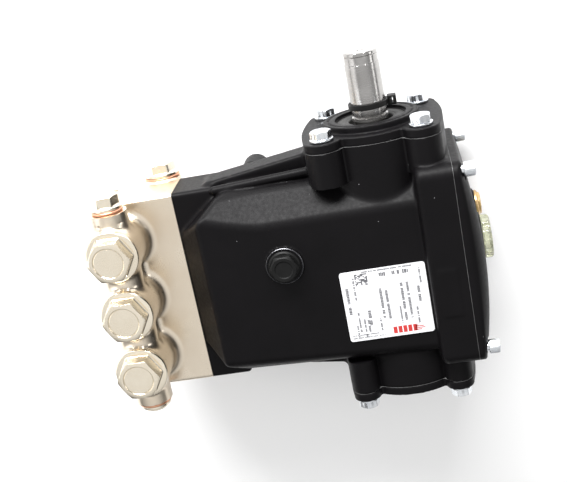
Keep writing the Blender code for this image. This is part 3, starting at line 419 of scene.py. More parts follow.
def prism(name, outline, start, end, axis, material, body, nodes=()):
    """A flat outline, a loop of points in the two other axes, given a thickness along one axis."""
    count = len(outline)
    points = np.zeros((2 * count, 3))
    others = [(axis + 1) % 3, (axis + 2) % 3]
    points[:count, others] = outline
    points[count:, others] = outline
    points[:count, axis] = start
    points[count:, axis] = end
    low = np.arange(count)
    nxt = np.roll(low, -1)
    sides = np.stack([low, nxt, nxt + count, low + count], axis=1)
    faces = [low[::-1][None, :], (low + count)[None, :], sides]
    return place_piece(name, make_mesh(name, points, faces), material, body, nodes)


def ring_outline(formula, count=240, reach=120.0):
    """Points round a closed outline, found along rays from its centre by halving the distance."""
    angle = np.arange(count) * 2 * math.pi / count
    near, far = np.zeros(count), np.full(count, reach)
    for _ in range(30):
        middle = (near + far) / 2
        inside = formula(middle * np.cos(angle), middle * np.sin(angle)) < 0
        near, far = np.where(inside, middle, near), np.where(inside, far, middle)
    return np.stack([near * np.cos(angle), near * np.sin(angle)], axis=1)


# ---------------------------------------------------------------- finishes

def start_material(name):
    material = bpy.data.materials.new(name)
    material.use_nodes = True
    tree = material.node_tree
    return material, tree, tree.nodes["Principled BSDF"]


def coordinates(tree, scale=(1.0, 1.0, 1.0)):
    place = tree.nodes.new("ShaderNodeTexCoord")
    mapping = tree.nodes.new("ShaderNodeMapping")
    mapping.inputs["Scale"].default_value = scale
    tree.links.new(place.outputs["Object"], mapping.inputs["Vector"])
    return mapping.outputs["Vector"]


def noise(tree, vector, scale, detail=3.0, rough=0.55):
    node = tree.nodes.new("ShaderNodeTexNoise")
    node.inputs["Scale"].default_value = scale
    node.inputs["Detail"].default_value = detail
    node.inputs["Roughness"].default_value = rough
    tree.links.new(vector, node.inputs["Vector"])
    return node.outputs["Fac"]


def spread(tree, value, low, high, start=0.3, end=0.7):
    """A value from start to end laid over the span from low to high."""
    node = tree.nodes.new("ShaderNodeMapRange")
    for key, number in (("From Min", start), ("From Max", end), ("To Min", low), ("To Max", high)):
        node.inputs[key].default_value = number
    tree.links.new(value, node.inputs["Value"])
    return node.outputs["Result"]


def blend_colors(tree, factor, first, second):
    node = tree.nodes.new("ShaderNodeMix")
    node.data_type = "RGBA"
    for socket, color in ((node.inputs[6], first), (node.inputs[7], second)):
        if isinstance(color, tuple):
            socket.default_value = (*color, 1.0)
        else:
            tree.links.new(color, socket)
    tree.links.new(factor, node.inputs[0])
    return node.outputs[2]


def relief(tree, height, depth, after=None):
    node = tree.nodes.new("ShaderNodeBump")
    node.inputs["Strength"].default_value = 1.0
    node.inputs["Distance"].default_value = depth
    tree.links.new(height, node.inputs["Height"])
    if after:
        tree.links.new(after, node.inputs["Normal"])
    return node.outputs["Normal"]


def finish(name, color, second, metallic, rough, cloud, grain, depth, stretch=(1.0, 1.0, 1.0), specular=None):
    """Two colours in slow clouds, roughness that wanders between two values, and a fine grain in relief."""
    material, tree, shader = start_material(name)
    plain = coordinates(tree)
    fine = coordinates(tree, stretch)
    clouds = noise(tree, plain, cloud)
    speckle = noise(tree, fine, grain, 2.0)
    blend = blend_colors(tree, spread(tree, clouds, 0.0, 1.0), color, second)
    tree.links.new(blend, shader.inputs["Base Color"])
    mixed = tree.nodes.new("ShaderNodeMath")
    mixed.operation = "MULTIPLY_ADD"
    mixed.inputs[1].default_value = 0.5
    tree.links.new(clouds, mixed.inputs[0])
    halved = tree.nodes.new("ShaderNodeMath")
    halved.operation = "MULTIPLY"
    halved.inputs[1].default_value = 0.5
    tree.links.new(speckle, halved.inputs[0])
    tree.links.new(halved.outputs[0], mixed.inputs[2])
    tree.links.new(spread(tree, mixed.outputs[0], rough[0], rough[1]), shader.inputs["Roughness"])
    tree.links.new(relief(tree, speckle, depth), shader.inputs["Normal"])
    shader.inputs["Metallic"].default_value = metallic
    if specular is not None:
        shader.inputs["Specular IOR Level"].default_value = specular
    return material


def coated_aluminium():
    """Satin black paint over a casting: soft orange peel, fine grain, and a few specks of dust."""
    material, tree, shader = start_material("black coated aluminium")
    plain = coordinates(tree)
    clouds = noise(tree, plain, 35.0)
    peel = noise(tree, plain, 420.0, 2.0)
    grain = noise(tree, plain, 2600.0, 2.0)
    dark, light = (0.0024, 0.0021, 0.0025), (0.0034, 0.0029, 0.0035)
    body = blend_colors(tree, spread(tree, clouds, 0.0, 1.0), dark, light)
    dust = tree.nodes.new("ShaderNodeTexVoronoi")
    dust.inputs["Scale"].default_value = 90.0
    tree.links.new(plain, dust.inputs["Vector"])
    specks = spread(tree, dust.outputs["Distance"], 1.0, 0.0, 0.012, 0.03)
    tree.links.new(blend_colors(tree, specks, body, (0.30, 0.30, 0.31)), shader.inputs["Base Color"])
    tree.links.new(spread(tree, peel, 0.42, 0.52), shader.inputs["Roughness"])
    soft = relief(tree, peel, 0.00006)
    tree.links.new(relief(tree, grain, 0.00002, soft), shader.inputs["Normal"])
    shader.inputs["Specular IOR Level"].default_value = 0.12
    return material


def clear_plastic():
    material, tree, shader = start_material("clear sight glass")
    clouds = noise(tree, coordinates(tree), 260.0)
    tree.links.new(
        blend_colors(tree, spread(tree, clouds, 0.0, 1.0), (0.83, 0.86, 0.55), (0.93, 0.94, 0.78)),
        shader.inputs["Base Color"],
    )
    tree.links.new(spread(tree, clouds, 0.05, 0.16), shader.inputs["Roughness"])
    tree.links.new(relief(tree, clouds, 0.0003), shader.inputs["Normal"])
    shader.inputs["Transmission Weight"].default_value = 0.75
    shader.inputs["IOR"].default_value = 1.49
    return material


PAINT = coated_aluminium()
# Name, two colours, metallic, roughness from and to, scales of clouds and grain, depth of grain in metres.
NICKEL = finish(
    "nickel plated brass", (0.82, 0.73, 0.60), (0.76, 0.66, 0.53), 1.0, (0.24, 0.36), 30.0, 1500.0, 0.00003
)
CAP_NICKEL = finish(
    "nickel plated cap", (0.92, 0.84, 0.70), (0.87, 0.78, 0.63), 1.0, (0.18, 0.30), 60.0, 1800.0, 0.00002
)
ZINC = finish(
    "zinc plated steel", (0.82, 0.84, 0.86), (0.72, 0.75, 0.79), 1.0, (0.14, 0.30), 160.0, 1600.0, 0.00002
)
STEEL = finish(
    "ground steel", (0.44, 0.43, 0.42), (0.34, 0.33, 0.32), 1.0, (0.18, 0.32), 60.0, 900.0, 0.00001,
    stretch=(9.0, 0.15, 0.15),
)
BARE = finish(
    "machined aluminium", (0.62, 0.62, 0.63), (0.52, 0.52, 0.53), 1.0, (0.30, 0.45), 90.0, 1400.0, 0.00002
)
COPPER = finish(
    "copper washer", (0.86, 0.47, 0.31), (0.72, 0.36, 0.22), 1.0, (0.22, 0.40), 220.0, 1200.0, 0.00002
)
BRASS = finish(
    "brass plug", (0.72, 0.52, 0.27), (0.58, 0.38, 0.17), 1.0, (0.22, 0.40), 200.0, 1200.0, 0.00002
)
RUBBER = finish(
    "black rubber", (0.022, 0.022, 0.022), (0.032, 0.031, 0.030), 0.0, (0.55, 0.75), 120.0, 1500.0, 0.00003
)
PLASTIC = finish(
    "black plastic", (0.005, 0.005, 0.005), (0.009, 0.009, 0.009), 0.0, (0.40, 0.52), 120.0, 2200.0, 0.00002,
    specular=0.15,
)
WORN = finish("worn rim", (0.20, 0.20, 0.21), (0.12, 0.12, 0.13), 1.0, (0.30, 0.45), 300.0, 1400.0, 0.00002)
CERAMIC = finish(
    "white ceramic", (0.86, 0.85, 0.80), (0.80, 0.79, 0.74), 0.0, (0.08, 0.16), 80.0, 1500.0, 0.000005
)
CARD = finish("label film", (0.83, 0.83, 0.85), (0.79, 0.79, 0.81), 0.0, (0.30, 0.42), 60.0, 900.0, 0.00001)
INK = finish("dark print", (0.10, 0.10, 0.11), (0.16, 0.16, 0.17), 0.0, (0.35, 0.45), 200.0, 900.0, 0.00001)
RED_INK = finish(
    "red print", (0.55, 0.035, 0.03), (0.48, 0.03, 0.028), 0.0, (0.35, 0.45), 200.0, 900.0, 0.00001
)
# Joint gasket grey, lighter than the paint: partly a real gasket, partly a painted glint along the machined
# joint edges.
GASKET_AND_GLINT = finish(
    "joint gasket and painted glint", (0.10, 0.10, 0.10), (0.20, 0.20, 0.20), 0.0, (0.45, 0.60), 200.0, 1200.0, 0.00002
)
GLASS = clear_plastic()

NODE_FINISH = {
    "black_coated_aluminium": PAINT,
    "nickel_plated_brass": NICKEL,
    "zinc_plated_steel": ZINC,
    "ground_steel": STEEL,
    "machined_aluminium": BARE,
    "copper_washer": COPPER,
    "brass_plug": BRASS,
    "black_rubber": RUBBER,
    "black_plastic": PLASTIC,
    "white_ceramic": CERAMIC,
    "clear_plastic": GLASS,
    "label_film": CARD,
}


def finish_nodes():
    """Each CAD node takes the finish of its material slot."""
    slot_of = {row["node"]: row["material_slot"] for row in frame["record"]["subparts"]}
    for name, obj in NODES.items():
        obj.data.materials.clear()
        obj.data.materials.append(NODE_FINISH[slot_of[name]])


# ---------------------------------------------------------------- crankcase

def crankcase_body(x, y, rise):
    """The main casting: a barrel with long bevels, sloping down to the manifold flange."""
    height = np.abs(rise)
    flare = 11.0 * np.clip((-84.0 - y) / 42.0, 0.0, 1.0) ** 1.3
    shaft_bevel = 0.673 * (-x - 46.5 - flare) + 0.740 * (height - BODY_RISE)
    closed_bevel = 0.841 * (x - 54.0 - 0.05 * (y + 110.0)) + 0.541 * (height - BODY_RISE)
    slope = -0.828 * (y + 127.0) + 0.560 * (height - BODY_RISE)
    body = meet(height - BODY_RISE, shaft_bevel, 2.5)
    body = meet(body, closed_bevel, 4.0)
    body = meet(body, np.maximum(-x - 69.0, x - 66.0), 5.0)
    corner = 0.78 * (np.abs(x) - 55.0) - 0.62 * (y + 127.0)
    body = meet(body, slope, 2.0)
    body = meet(body, corner, 3.0)
    return np.maximum(body, np.maximum(JOINT_Y - y, y - 30.0))


def crankcase_outside(x, y, z):
    """The body with its flange, rear block, bearing bosses with bolt ears, side wedges and ribs."""
    rise = z - AXIS_Z
    low, high = (-FLANGE_HALF, JOINT_Y - 20.0, FLANGE_BOTTOM), (FLANGE_HALF, JOINT_Y + 29.0, FLANGE_TOP)
    flange = brick(x, y, rise, low, high, 3.0)
    rear = extruded(rear_outline(x, rise), y, 23.0, COVER_JOINT_Y + 20.0, 5.0)
    boss = rod(BOSS_RADIUS, length(y, rise), x, -BOSS_END, BOSS_END, 0.6)
    half_x = np.abs(x)
    ear_radius = np.where(x < 0, SHAFT_EAR, CLOSED_EAR)
    ears = extruded(ear_outline(y, rise, ear_radius), half_x, 65.0, BOSS_END, 0.6)
    shape = fuse(crankcase_body(x, y, rise), flange, 3.5)
    shape = fuse(shape, rear, 3.0)
    shape = fuse(shape, fuse(boss, ears, 1.5), 1.8)
    flank = 0.991 * (half_x - np.where(x < 0, 73.5, 68.3)) - 0.1327 * (y + 119.6)
    wedge = meet(meet(flank, np.abs(rise + 2.0) - 12.0, 2.5), np.maximum(-122.0 - y, y + 20.0), 2.5)
    shape = fuse(shape, wedge, 4.0)
    rib = capsule(x, y, rise, (-69.5, -114.0, 19.0), (-73.5, -38.0, 20.0), 3.0)
    shape = fuse(shape, rib, 2.0)
    shape = np.maximum(shape, JOINT_Y - y)
    return np.maximum(shape, y - COVER_JOINT_Y + SEAM)


def crankcase_fittings(shape, x, y, z):
    """The machined base, its four lugs, the filler seat and a small raised pad behind it."""
    rise = z - AXIS_Z
    pad = brick(x, y, z, (-44.0, -102.0, 0.0), (44.0, 20.0, 30.0), 0.6)
    lug_y = np.abs(y - FOOT_MIDDLE_Y) - FOOT_HALF_Y
    across = np.abs(x) - LUG_X
    webs = brick(x, lug_y, z, (-62.0, -9.0, 0.0), (62.0, 9.0, 26.0), 0.8)
    lugs = rod(9.8, length(across, lug_y), z, 0.0, 33.0, 0.8)
    lugs = meet(lugs, length(across, lug_y, z - 17.0) - 15.0, 1.0)
    shape = fuse(shape, pad, 3.0)
    shape = fuse(shape, fuse(webs, lugs, 2.0), 3.0)
    seat = rod(13.0, length(x - FILLER_X, y - FILLER_Y), rise, 20.0, FILLER_SEAT_RISE, 0.7)
    shape = fuse(shape, seat, 1.6)
    plate = brick(x, y, rise, (0.4, 29.0, 40.0), (35.5, 42.0, REAR_HALF_RISE + 0.5), 0.5)
    return fuse(shape, plate, 0.4)


def crankcase_shape(x, y, z):
    """The finished casting: the outside less the crank space, the bores and the screw holes."""
    rise = z - AXIS_Z
    half_x = np.abs(x)
    lane = lane_offset(x)
    shape = crankcase_fittings(crankcase_outside(x, y, z), x, y, z)
    around = length(y, rise)
    hollow = np.minimum(rod(36.0, around, x, -62.0, 62.0), rod(31.1, around, x, -BORE_END, BORE_END))
    hollow = np.minimum(hollow, brick(x, y, rise, (-57.0, 2.0, -29.0), (57.0, 70.0, 29.0), 2.0))
    pocket = brick(x, y, np.abs(rise), (-45.0, -112.6, 22.0), (45.0, -20.0, 38.5), 2.0)
    hollow = np.minimum(hollow, pocket)
    around_lane = length(lane, rise)
    hollow = together(
        hollow,
        rod(19.05, around_lane, y, -98.0, -20.0),
        rod(11.0, around_lane, y, -160.0, -90.0),
        rod(4.3, bolt_distance(y, rise), half_x, 70.0, BORE_END),
        rod(8.6, length(x - FILLER_X, y - FILLER_Y), rise, 30.0, 60.0),
        rod(3.3, cap_screw_distance(x, rise), y, 34.0, 70.0),
    )
    base_hole = length(half_x - BASE_HOLE_X, np.abs(y - FOOT_MIDDLE_Y) - FOOT_HALF_Y)
    hollow = np.minimum(hollow, rod(3.4, base_hole, z, -10.0, 18.0))
    return carve(shape, hollow, 0.3)


# ---------------------------------------------------------------- manifold

def manifold_outside(x, y, rise):
    """The forged block with its valve bosses and the two galleries across."""
    lane = lane_offset(x)
    upper_gallery, lower_gallery = discharge_gallery_distance(y, rise), suction_gallery_distance(y, rise)
    low, high = (-FLANGE_HALF, MANIFOLD_LOW[1], FLANGE_BOTTOM), (FLANGE_HALF, JOINT_Y + 20.0, FLANGE_TOP)
    block = brick(x, y, rise, low, high, 2.5)
    lower = brick(x, y, rise, (-66.0, -192.0, -45.8), (66.0, -148.6, -10.0), 4.0)
    web = brick(x, y, rise, (-59.0, -197.0, 0.0), (59.0, -177.5, 46.0), 4.0)
    bosses = rod(18.5, length(lane, y - DISCHARGE_Y), rise, 0.0, DISCHARGE_SEAT, 0.5)
    gallery = rod(13.2, upper_gallery, x, -PORT_END, PORT_END, 0.6)
    upper = fuse(fuse(bosses, web, 3.5), gallery, 3.0)
    low_bosses = rod(18.5, length(lane, y - SUCTION_Y), rise, -SUCTION_SEAT, 0.0, 0.5)
    low_gallery = rod(13.6, lower_gallery, x, -PORT_END, PORT_END, 0.6)
    under = fuse(fuse(low_bosses, lower, 3.0), low_gallery, 3.0)
    shape = fuse(fuse(block, upper, 6.0), under, 4.0)
    seam_groove = np.abs(upper_gallery - 13.6) - 0.8
    shape = carve(shape, np.maximum(seam_groove, np.abs(np.abs(x) - 65.0) - 0.35), 0.1)
    return np.maximum(shape, y - JOINT_Y + SEAM)


def manifold_shape(x, y, z):
    """The finished manifold: the forging less its valve, plunger and gallery bores."""
    rise = z - AXIS_Z
    lane = lane_offset(x)
    shape = manifold_outside(x, y, rise)
    lower_gallery = suction_gallery_distance(y, rise)
    hollow = rod(7.0, discharge_gallery_distance(y, rise), x, -80.0, 80.0)
    hollow = together(
        hollow,
        rod(9.0, lower_gallery, x, -80.0, 80.0),
        rod(14.3, length(lane, rise), y, -160.5, -130.0),
        rod(11.5, length(lane, rise), y, -192.0, -150.0),
    )
    over, under = length(lane, y - DISCHARGE_Y), length(lane, y - SUCTION_Y)
    hollow = together(
        hollow,
        rod(7.5, over, rise, 2.0, 30.0),
        rod(12.0, over, rise, 24.0, 60.0),
        rod(12.0, under, rise, -18.0, 1.0),
        rod(7.5, under, rise, -30.0, -10.0),
        rod(12.0, under, rise, -60.0, -24.5),
    )
    screw = length(np.abs(np.abs(x) - 43.0) - 21.0, np.abs(rise + 3.0) - 14.0)
    hollow = np.minimum(hollow, rod(7.2, screw, y, -210.0, -191.0))
    thread = 0.35 * np.sin(x * 2 * math.pi / 1.8)
    port = rod(9.6, lower_gallery + thread, x, 55.0, 80.0)
    hollow = np.minimum(hollow, port)
    return carve(shape, hollow, 0.4)


# ---------------------------------------------------------------- covers

def shaft_cover_shape(x, y, z):
    """The drive side cover: a lobed plate, a centring collar with a scribed lip, and the seal's seat."""
    rise = z - AXIS_Z
    out = -x
    around = length(y, rise)
    plate = extruded(lobed_outline(y, rise, SHAFT_EAR), out, BOSS_END + SEAM, PLATE_END, 0.9)
    collar = rod(32.8, around, out, 92.0, COLLAR_END, 0.9)
    shape = fuse(plate, collar, 1.2)
    shape = np.minimum(shape, rod(30.7, around, out, 83.6, 93.0))
    lip = np.maximum(np.abs(around - 29.2) - 0.5, np.abs(out - COLLAR_END) - 0.7)
    shape = carve(shape, lip, 0.2)
    jack = np.minimum(length(y - 14.0, rise + 41.5), length(y + 14.0, rise - 41.5))
    shape = carve(shape, rod(2.2, jack, out, 92.0, BORE_END), 0.2)
    hollow = np.minimum(rod(24.7, around, out, 97.7, BORE_END, 0.6), rod(23.8, around, out, 90.0, BORE_END))
    hollow = together(
        hollow,
        rod(18.0, around, out, 80.0, BORE_END),
        rod(4.3, bolt_distance(y, rise), out, 80.0, BORE_END),
    )
    return carve(shape, hollow, 0.3)


def closed_cover_shape(x, y, z):
    """The cover away from the drive: a lobed plate with a raised round middle."""
    rise = z - AXIS_Z
    around = length(y, rise)
    plate = extruded(lobed_outline(y, rise, CLOSED_EAR), x, BOSS_END + SEAM, PLATE_END, 1.0)
    middle = rod(31.0, around, x, 92.0, 97.3, 1.2)
    shape = fuse(plate, middle, 2.0)
    shape = np.minimum(shape, rod(30.7, around, x, 83.6, 93.0))
    hollow = rod(24.0, around, x, 70.0, BOSS_END + SEAM)
    hollow = np.minimum(hollow, rod(4.3, bolt_distance(y, rise), x, 80.0, BORE_END))
    return carve(shape, hollow, 0.3)


def rear_cover_shape(x, y, z):
    """The rear cover: a shallow dome with flats above and below, and seats for the glass and the drain."""
    rise = z - AXIS_Z
    crest = COVER_JOINT_Y + DOME_CREST
    arc = (68.3**2 + 7.7**2) / (2 * 7.7)
    dome = length(x, y - crest + arc) - arc
    fall = 0.607 * (y - COVER_JOINT_Y - 5.2) + 0.794 * (np.abs(rise) - REAR_HALF_RISE)
    outline = extruded(rear_outline(x, rise), y, COVER_JOINT_Y, COVER_JOINT_Y + 40.0, 0.5)
    shape = meet(meet(dome, fall, 7.0), outline, 1.5)
    glass_seat = rod(17.5, length(x, rise), y, crest - 5.0, crest + 1.0, 0.6)
    drain = length(x - DRAIN_X, rise - DRAIN_RISE)
    drain_seat = rod(11.0, drain, y, 54.0, DRAIN_SEAT_Y, 0.6)
    shape = fuse(fuse(shape, glass_seat, 2.0), drain_seat, 2.0)
    inside = brick(x, y, rise, (-56.0, 40.0, -28.0), (56.0, COVER_JOINT_Y + 2.0, 28.0), 1.0)
    low, high = (-34.0, 40.0, -26.0), (34.0, COVER_JOINT_Y + 8.0, 26.0)
    inside = np.minimum(inside, brick(x, y, rise, low, high, 5.0))
    screw = cap_screw_distance(x, rise)
    hollow = np.minimum(inside, rod(12.0, length(x, rise), y, 40.0, 80.0))
    hollow = together(
        hollow,
        rod(6.4, drain, y, 40.0, 80.0),
        rod(3.3, screw, y, 40.0, 80.0),
        rod(7.2, screw, y, 55.3, 90.0),
    )
    return carve(shape, hollow, 0.5)


def make_castings():
    rear_high = REAR_HIGH + (2 * REAR_SHIFT, 0.0, 0.0)
    paint, nickel = (PAINT, "black_coated_aluminium"), (NICKEL, "nickel_plated_brass")
    rows = (
        ("crankcase_casting", crankcase_shape, CASE_LOW, CASE_HIGH, 1.2, paint, "crankcase"),
        ("manifold_forging", manifold_shape, MANIFOLD_LOW, MANIFOLD_HIGH, 1.1, nickel, "manifold"),
        (
            "shaft_cover_casting", shaft_cover_shape, SHAFT_COVER_LOW, SHAFT_COVER_HIGH, 0.7, paint,
            "shaft_side_cover",
        ),
        (
            "closed_cover_casting", closed_cover_shape, CLOSED_COVER_LOW, CLOSED_COVER_HIGH, 0.9, paint,
            "closed_side_cover",
        ),
        ("rear_cover_casting", rear_cover_shape, REAR_LOW, rear_high, 0.9, paint, "rear_cover"),
    )
    for name, shape, low, high, step, (material, slot), node in rows:
        cast(name, shape, low, high, step, material, "pump", [node])


def make_gaskets():
    """Thin gaskets in the three cover joints, a little inside the rims of the castings; their grey, lighter
    than the black paint, is partly the gasket and partly a painted glint along the machined joint edges.
    """
    inset, free = 0.25, 0.02
    for name, side, radius in (("shaft_cover_gasket_and_glint", -1, SHAFT_EAR), ("closed_cover_gasket_and_glint", 1, CLOSED_EAR)):
        lobes = ring_outline(lambda a, b: lobed_outline(a, b, radius) + inset) + np.array([0.0, AXIS_Z])
        start, end = sorted((side * (BOSS_END + free), side * (BOSS_END + SEAM - free)))
        prism(name, lobes, start, end, 0, GASKET_AND_GLINT, "pump")
    rim = ring_outline(lambda a, b: rear_outline(b, a) + inset) + np.array([AXIS_Z, 0.0])
    start, end = COVER_JOINT_Y - SEAM + free, COVER_JOINT_Y - free
    prism("rear_cover_gasket_and_glint", rim, start, end, 1, GASKET_AND_GLINT, "pump")


# ---------------------------------------------------------------- caps, plugs and screws

def valve_cap_stations(hex_height):
    """A hexagon head with a shallow round recess, on a flange that seats on the manifold, over a stub."""
    flats, flange, radius = 27.0, 3.0, 18.5
    top = flange + hex_height
    circle = 0.495 * flats
    side = hexagon(flats)
    foot = lambda angle: side(angle) + 0.7
    return [
        (0.0, top - 0.5), (9.9, top - 0.5), (10.3, top - 0.8), (10.6, top - 0.5), (10.8, top), (circle, top),
        (side, chamfered(flats, top, circle)), (side, flange + 0.7), (foot, flange + 0.1),
        (17.4, flange), (18.2, flange - 0.3), (radius, flange - 1.0), (radius, SEAM), (11.7, SEAM),
        (11.7, -8.0), (0.0, -8.0),
    ]


def make_valve_caps():
    """Three caps above on the discharge valves and three lower ones below on the suction valves."""
    rows = (
        ("discharge", 10.8, DISCHARGE_Y, AXIS_Z + DISCHARGE_SEAT, "+Z", 0.0),
        ("suction", 8.4, SUCTION_Y, AXIS_Z - SUCTION_SEAT, "-Z", 30.0),
    )
    for lane in (1, 2, 3):
        for name, hex_height, y, z, direction, turn in rows:
            turned_piece(
                f"{name}_cap_{lane}", valve_cap_stations(hex_height), ((lane - 2) * LANE, y, z), direction,
                CAP_NICKEL, "pump", [f"{name}_valve_cap_{lane}"], turn=turn,
            )


def bolt_stations(shank):
    """A cover bolt: hexagon head with its corners turned off, a flat washer, and the shank."""
    flats, washer, head = 13.0, 1.6, 7.0
    circle = 0.47 * flats
    side = hexagon(flats)
    return [
        (0.0, head - 0.5), (3.6, head - 0.5), (4.2, head), (circle, head),
        (side, chamfered(flats, head, circle)), (side, washer + 0.3), (6.6, washer + 0.15), (7.3, washer),
        (8.0, washer - 0.25), (8.0, 0.25),
        (7.7, 0.0), (4.0, 0.0), (4.0, -shank), (0.0, -shank),
    ]


def screw_stations(head_radius, head, socket_flats, shank_radius, shank):
    """A socket head screw: a knurled round head with a hexagon socket, and its shank."""
    socket = hexagon(socket_flats, 1.0)
    mouth = lambda angle: socket(angle) + 0.25
    knurl = lambda angle: head_radius - 0.12 * (1 + np.cos(angle * 32))
    return [
        (0.0, 0.45 * head), (socket, 0.45 * head), (socket, head - 0.25), (mouth, head),
        (0.86 * head_radius, head), (0.97 * head_radius, head - 0.5), (knurl, head - 1.0), (knurl, 1.0),
        (0.97 * head_radius, 0.6),
        (0.97 * head_radius, 0.0), (shank_radius, 0.0), (shank_radius, -shank), (0.0, -shank),
    ]


def make_screws():
    """Cover bolts and rear cover screws, each with a turn of its own, and the screws through the manifold."""
    places = [(y, AXIS_Z + z) for y in (-BOLT_HALF, BOLT_HALF) for z in (BOLT_HALF, -BOLT_HALF)]
    turns = (12.0, 41.0, 25.0, 3.0)
    for index, ((y, z), turn) in enumerate(zip(places, turns), 1):
        for group, side, direction in (("shaft_cover", -1, "-X"), ("closed_cover", 1, "+X")):
            turned_piece(
                f"{group}_hex_bolt_{index}", bolt_stations(22.0), (side * (PLATE_END + SEAM), y, z),
                direction, ZINC, "pump", [f"{group}_bolt_{index}"], turn=turn,
            )
    for index in range(1, 5):
        low, high = box_of(f"rear_cover_screw_{index}")
        x, z = (low[0] + high[0]) / 2, (low[2] + high[2]) / 2
        turned_piece(
            f"rear_cap_screw_{index}", screw_stations(5.0, 7.6, 5.0, 3.0, 17.0), (x, 55.6, z), "+Y", ZINC,
            "pump", [f"rear_cover_screw_{index}"], columns=192, turn=turns[index - 1],
        )
    places = [(x, AXIS_Z + rise) for x in (-64.0, -22.0, 22.0, 64.0) for rise in (11.0, -17.0)]
    for index, (x, z) in enumerate(places, 1):
        turned_piece(
            f"manifold_screw_{index}", screw_stations(6.5, 8.0, 6.0, 4.0, 40.0), (x, -190.7, z), "-Y", ZINC,
            "pump", columns=192,
        )


def port_plug_stations(flats, washer_radius, hole, head):
    """A hexagon plug on a round flange, with a shallow dish in its face, over a threaded stub."""
    flange = 2.4
    circle = 0.46 * flats
    side = hexagon(flats)
    return [
        (0.0, head - 0.5), (0.30 * flats, head - 0.5), (0.36 * flats, head - 0.1), (circle, head),
        (side, chamfered(flats, head, circle)), (side, flange + 0.4), (washer_radius - 1.6, flange),
        (washer_radius - 0.8, flange - 0.6), (washer_radius - 0.8, 0.0), (hole - 0.3, 0.0),
        (hole - 0.3, -13.0), (0.0, -13.0),
    ]


def washer_stations(inner, outer, thick):
    """A ring with softly rounded edges."""
    edge = 0.45
    return [
        (inner, thick - edge), (inner + edge, thick), (outer - edge, thick), (outer, thick - edge),
        (outer, edge), (outer - edge, 0.0), (inner + edge, 0.0), (inner, edge),
    ]


def make_ports():
    """A copper ring and a hexagon plug at each closed end of the two galleries."""
    seat = PORT_END + SEAM
    upper = (DISCHARGE_Y, AXIS_Z + DISCHARGE_GALLERY_RISE)
    lower = (SUCTION_GALLERY_Y, AXIS_Z + SUCTION_GALLERY_RISE)
    rows = (
        ("discharge_port_shaft_side", -1, upper, 7.0, 11.0, 17.0, 10.0),
        ("discharge_port_closed_side", 1, upper, 7.0, 12.0, 17.0, 4.5),
        ("suction_port_shaft_side", -1, lower, 9.0, 13.0, 20.0, 10.0),
    )
    for name, side, (y, z), hole, washer, flats, head in rows:
        direction = "-X" if side < 0 else "+X"
        turned_piece(
            f"{name}_copper_ring", washer_stations(hole + 0.3, washer, 1.8), (side * seat, y, z), direction,
            COPPER, "pump", [f"{name}_washer"], edge=0.0,
        )
        turned_piece(
            f"{name}_hex_plug", port_plug_stations(flats, washer, hole, head), (side * (seat + 2.1), y, z),
            direction, CAP_NICKEL, "pump", [f"{name}_plug"], turn=8.0,
        )


def make_case_plugs():
    """The filler plug on top, and the brass drain plug and clear sight glass behind."""
    seat = FILLER_SEAT_RISE + SEAM
    side = hexagon(18.0)
    filler = [
        (0.0, 7.2), (5.6, 7.2), (6.3, 7.7), (8.3, 7.7), (side, chamfered(18.0, 7.7, 8.3, 0.8)), (side, 2.1),
        (10.0, 2.1), (11.0, 1.2), (11.0, 0.0), (8.3, 0.0), (8.3, -11.0), (0.0, -11.0),
    ]
    turned_piece(
        "filler_seat_rim", washer_stations(12.1, 12.95, 0.7), (FILLER_X, FILLER_Y, AXIS_Z + seat - 0.6), "+Z",
        WORN, "pump", edge=0.0,
    )
    turned_piece(
        "filler_plug", filler, (FILLER_X, FILLER_Y, AXIS_Z + seat), "+Z", PLASTIC, "pump",
        ["oil_filler_plug"],
    )
    side = hexagon(15.0)
    drain = [
        (0.0, 3.6), (4.6, 3.6), (5.2, 4.2), (7.0, 4.2), (side, chamfered(15.0, 4.2, 7.0)), (side, 2.4),
        (9.3, 2.2), (10.0, 1.6), (10.0, 0.0), (6.1, 0.0), (6.1, -9.0), (0.0, -9.0),
    ]
    turned_piece(
        "brass_drain_plug", drain, (DRAIN_X, DRAIN_SEAT_Y + SEAM, AXIS_Z + DRAIN_RISE), "+Y", BRASS, "pump",
        ["drain_plug"],
    )
    crest = COVER_JOINT_Y + DOME_CREST + 1.0
    ridge = lambda angle: 15.1 + 0.5 * np.cos(angle * 12)
    window = [
        (0.0, 4.6), (5.0, 4.8), (7.4, 5.4), (9.0, 6.6), (13.2, 6.6), (14.4, 6.2), (ridge, 5.0), (ridge, 1.2),
        (15.6, 0.6), (15.6, SEAM), (11.7, SEAM), (11.7, -7.0), (0.0, -7.0),
    ]
    turned_piece(
        "oil_sight_glass", window, (0.0, crest, AXIS_Z), "+Y", GLASS, "pump",
        ["sight_glass"], columns=192,
    )


def make_seal():
    """The shaft seal: a rubber face with two lips and a rolled edge, held in the cover."""
    low, high = box_of("shaft_seal")
    start, end = -high[0], -low[0]
    stations = [
        (12.65, end - 6.2), (14.9, end - 6.4), (15.3, end - 0.9), (15.9, end - 0.4), (17.2, end - 0.6),
        (17.8, end - 0.3), (18.6, end - 0.1), (21.4, end - 0.1), (22.0, end - 0.5), (22.6, end),
        (23.5, end - 0.4), (23.5, start), (16.0, start), (12.65, start + 0.3),
    ]
    turned_piece(
        "lip_seal", stations, (0.0, 0.0, AXIS_Z), "-X", RUBBER, "pump", ["shaft_seal"],
        edge=0.0,
    )


# ---------------------------------------------------------------- crankshaft

def crank_turn(y, rise, degrees):
    """Coordinates turned about the crankshaft axis."""
    a = math.radians(degrees)
    return y * math.cos(a) + rise * math.sin(a), rise * math.cos(a) - y * math.sin(a)


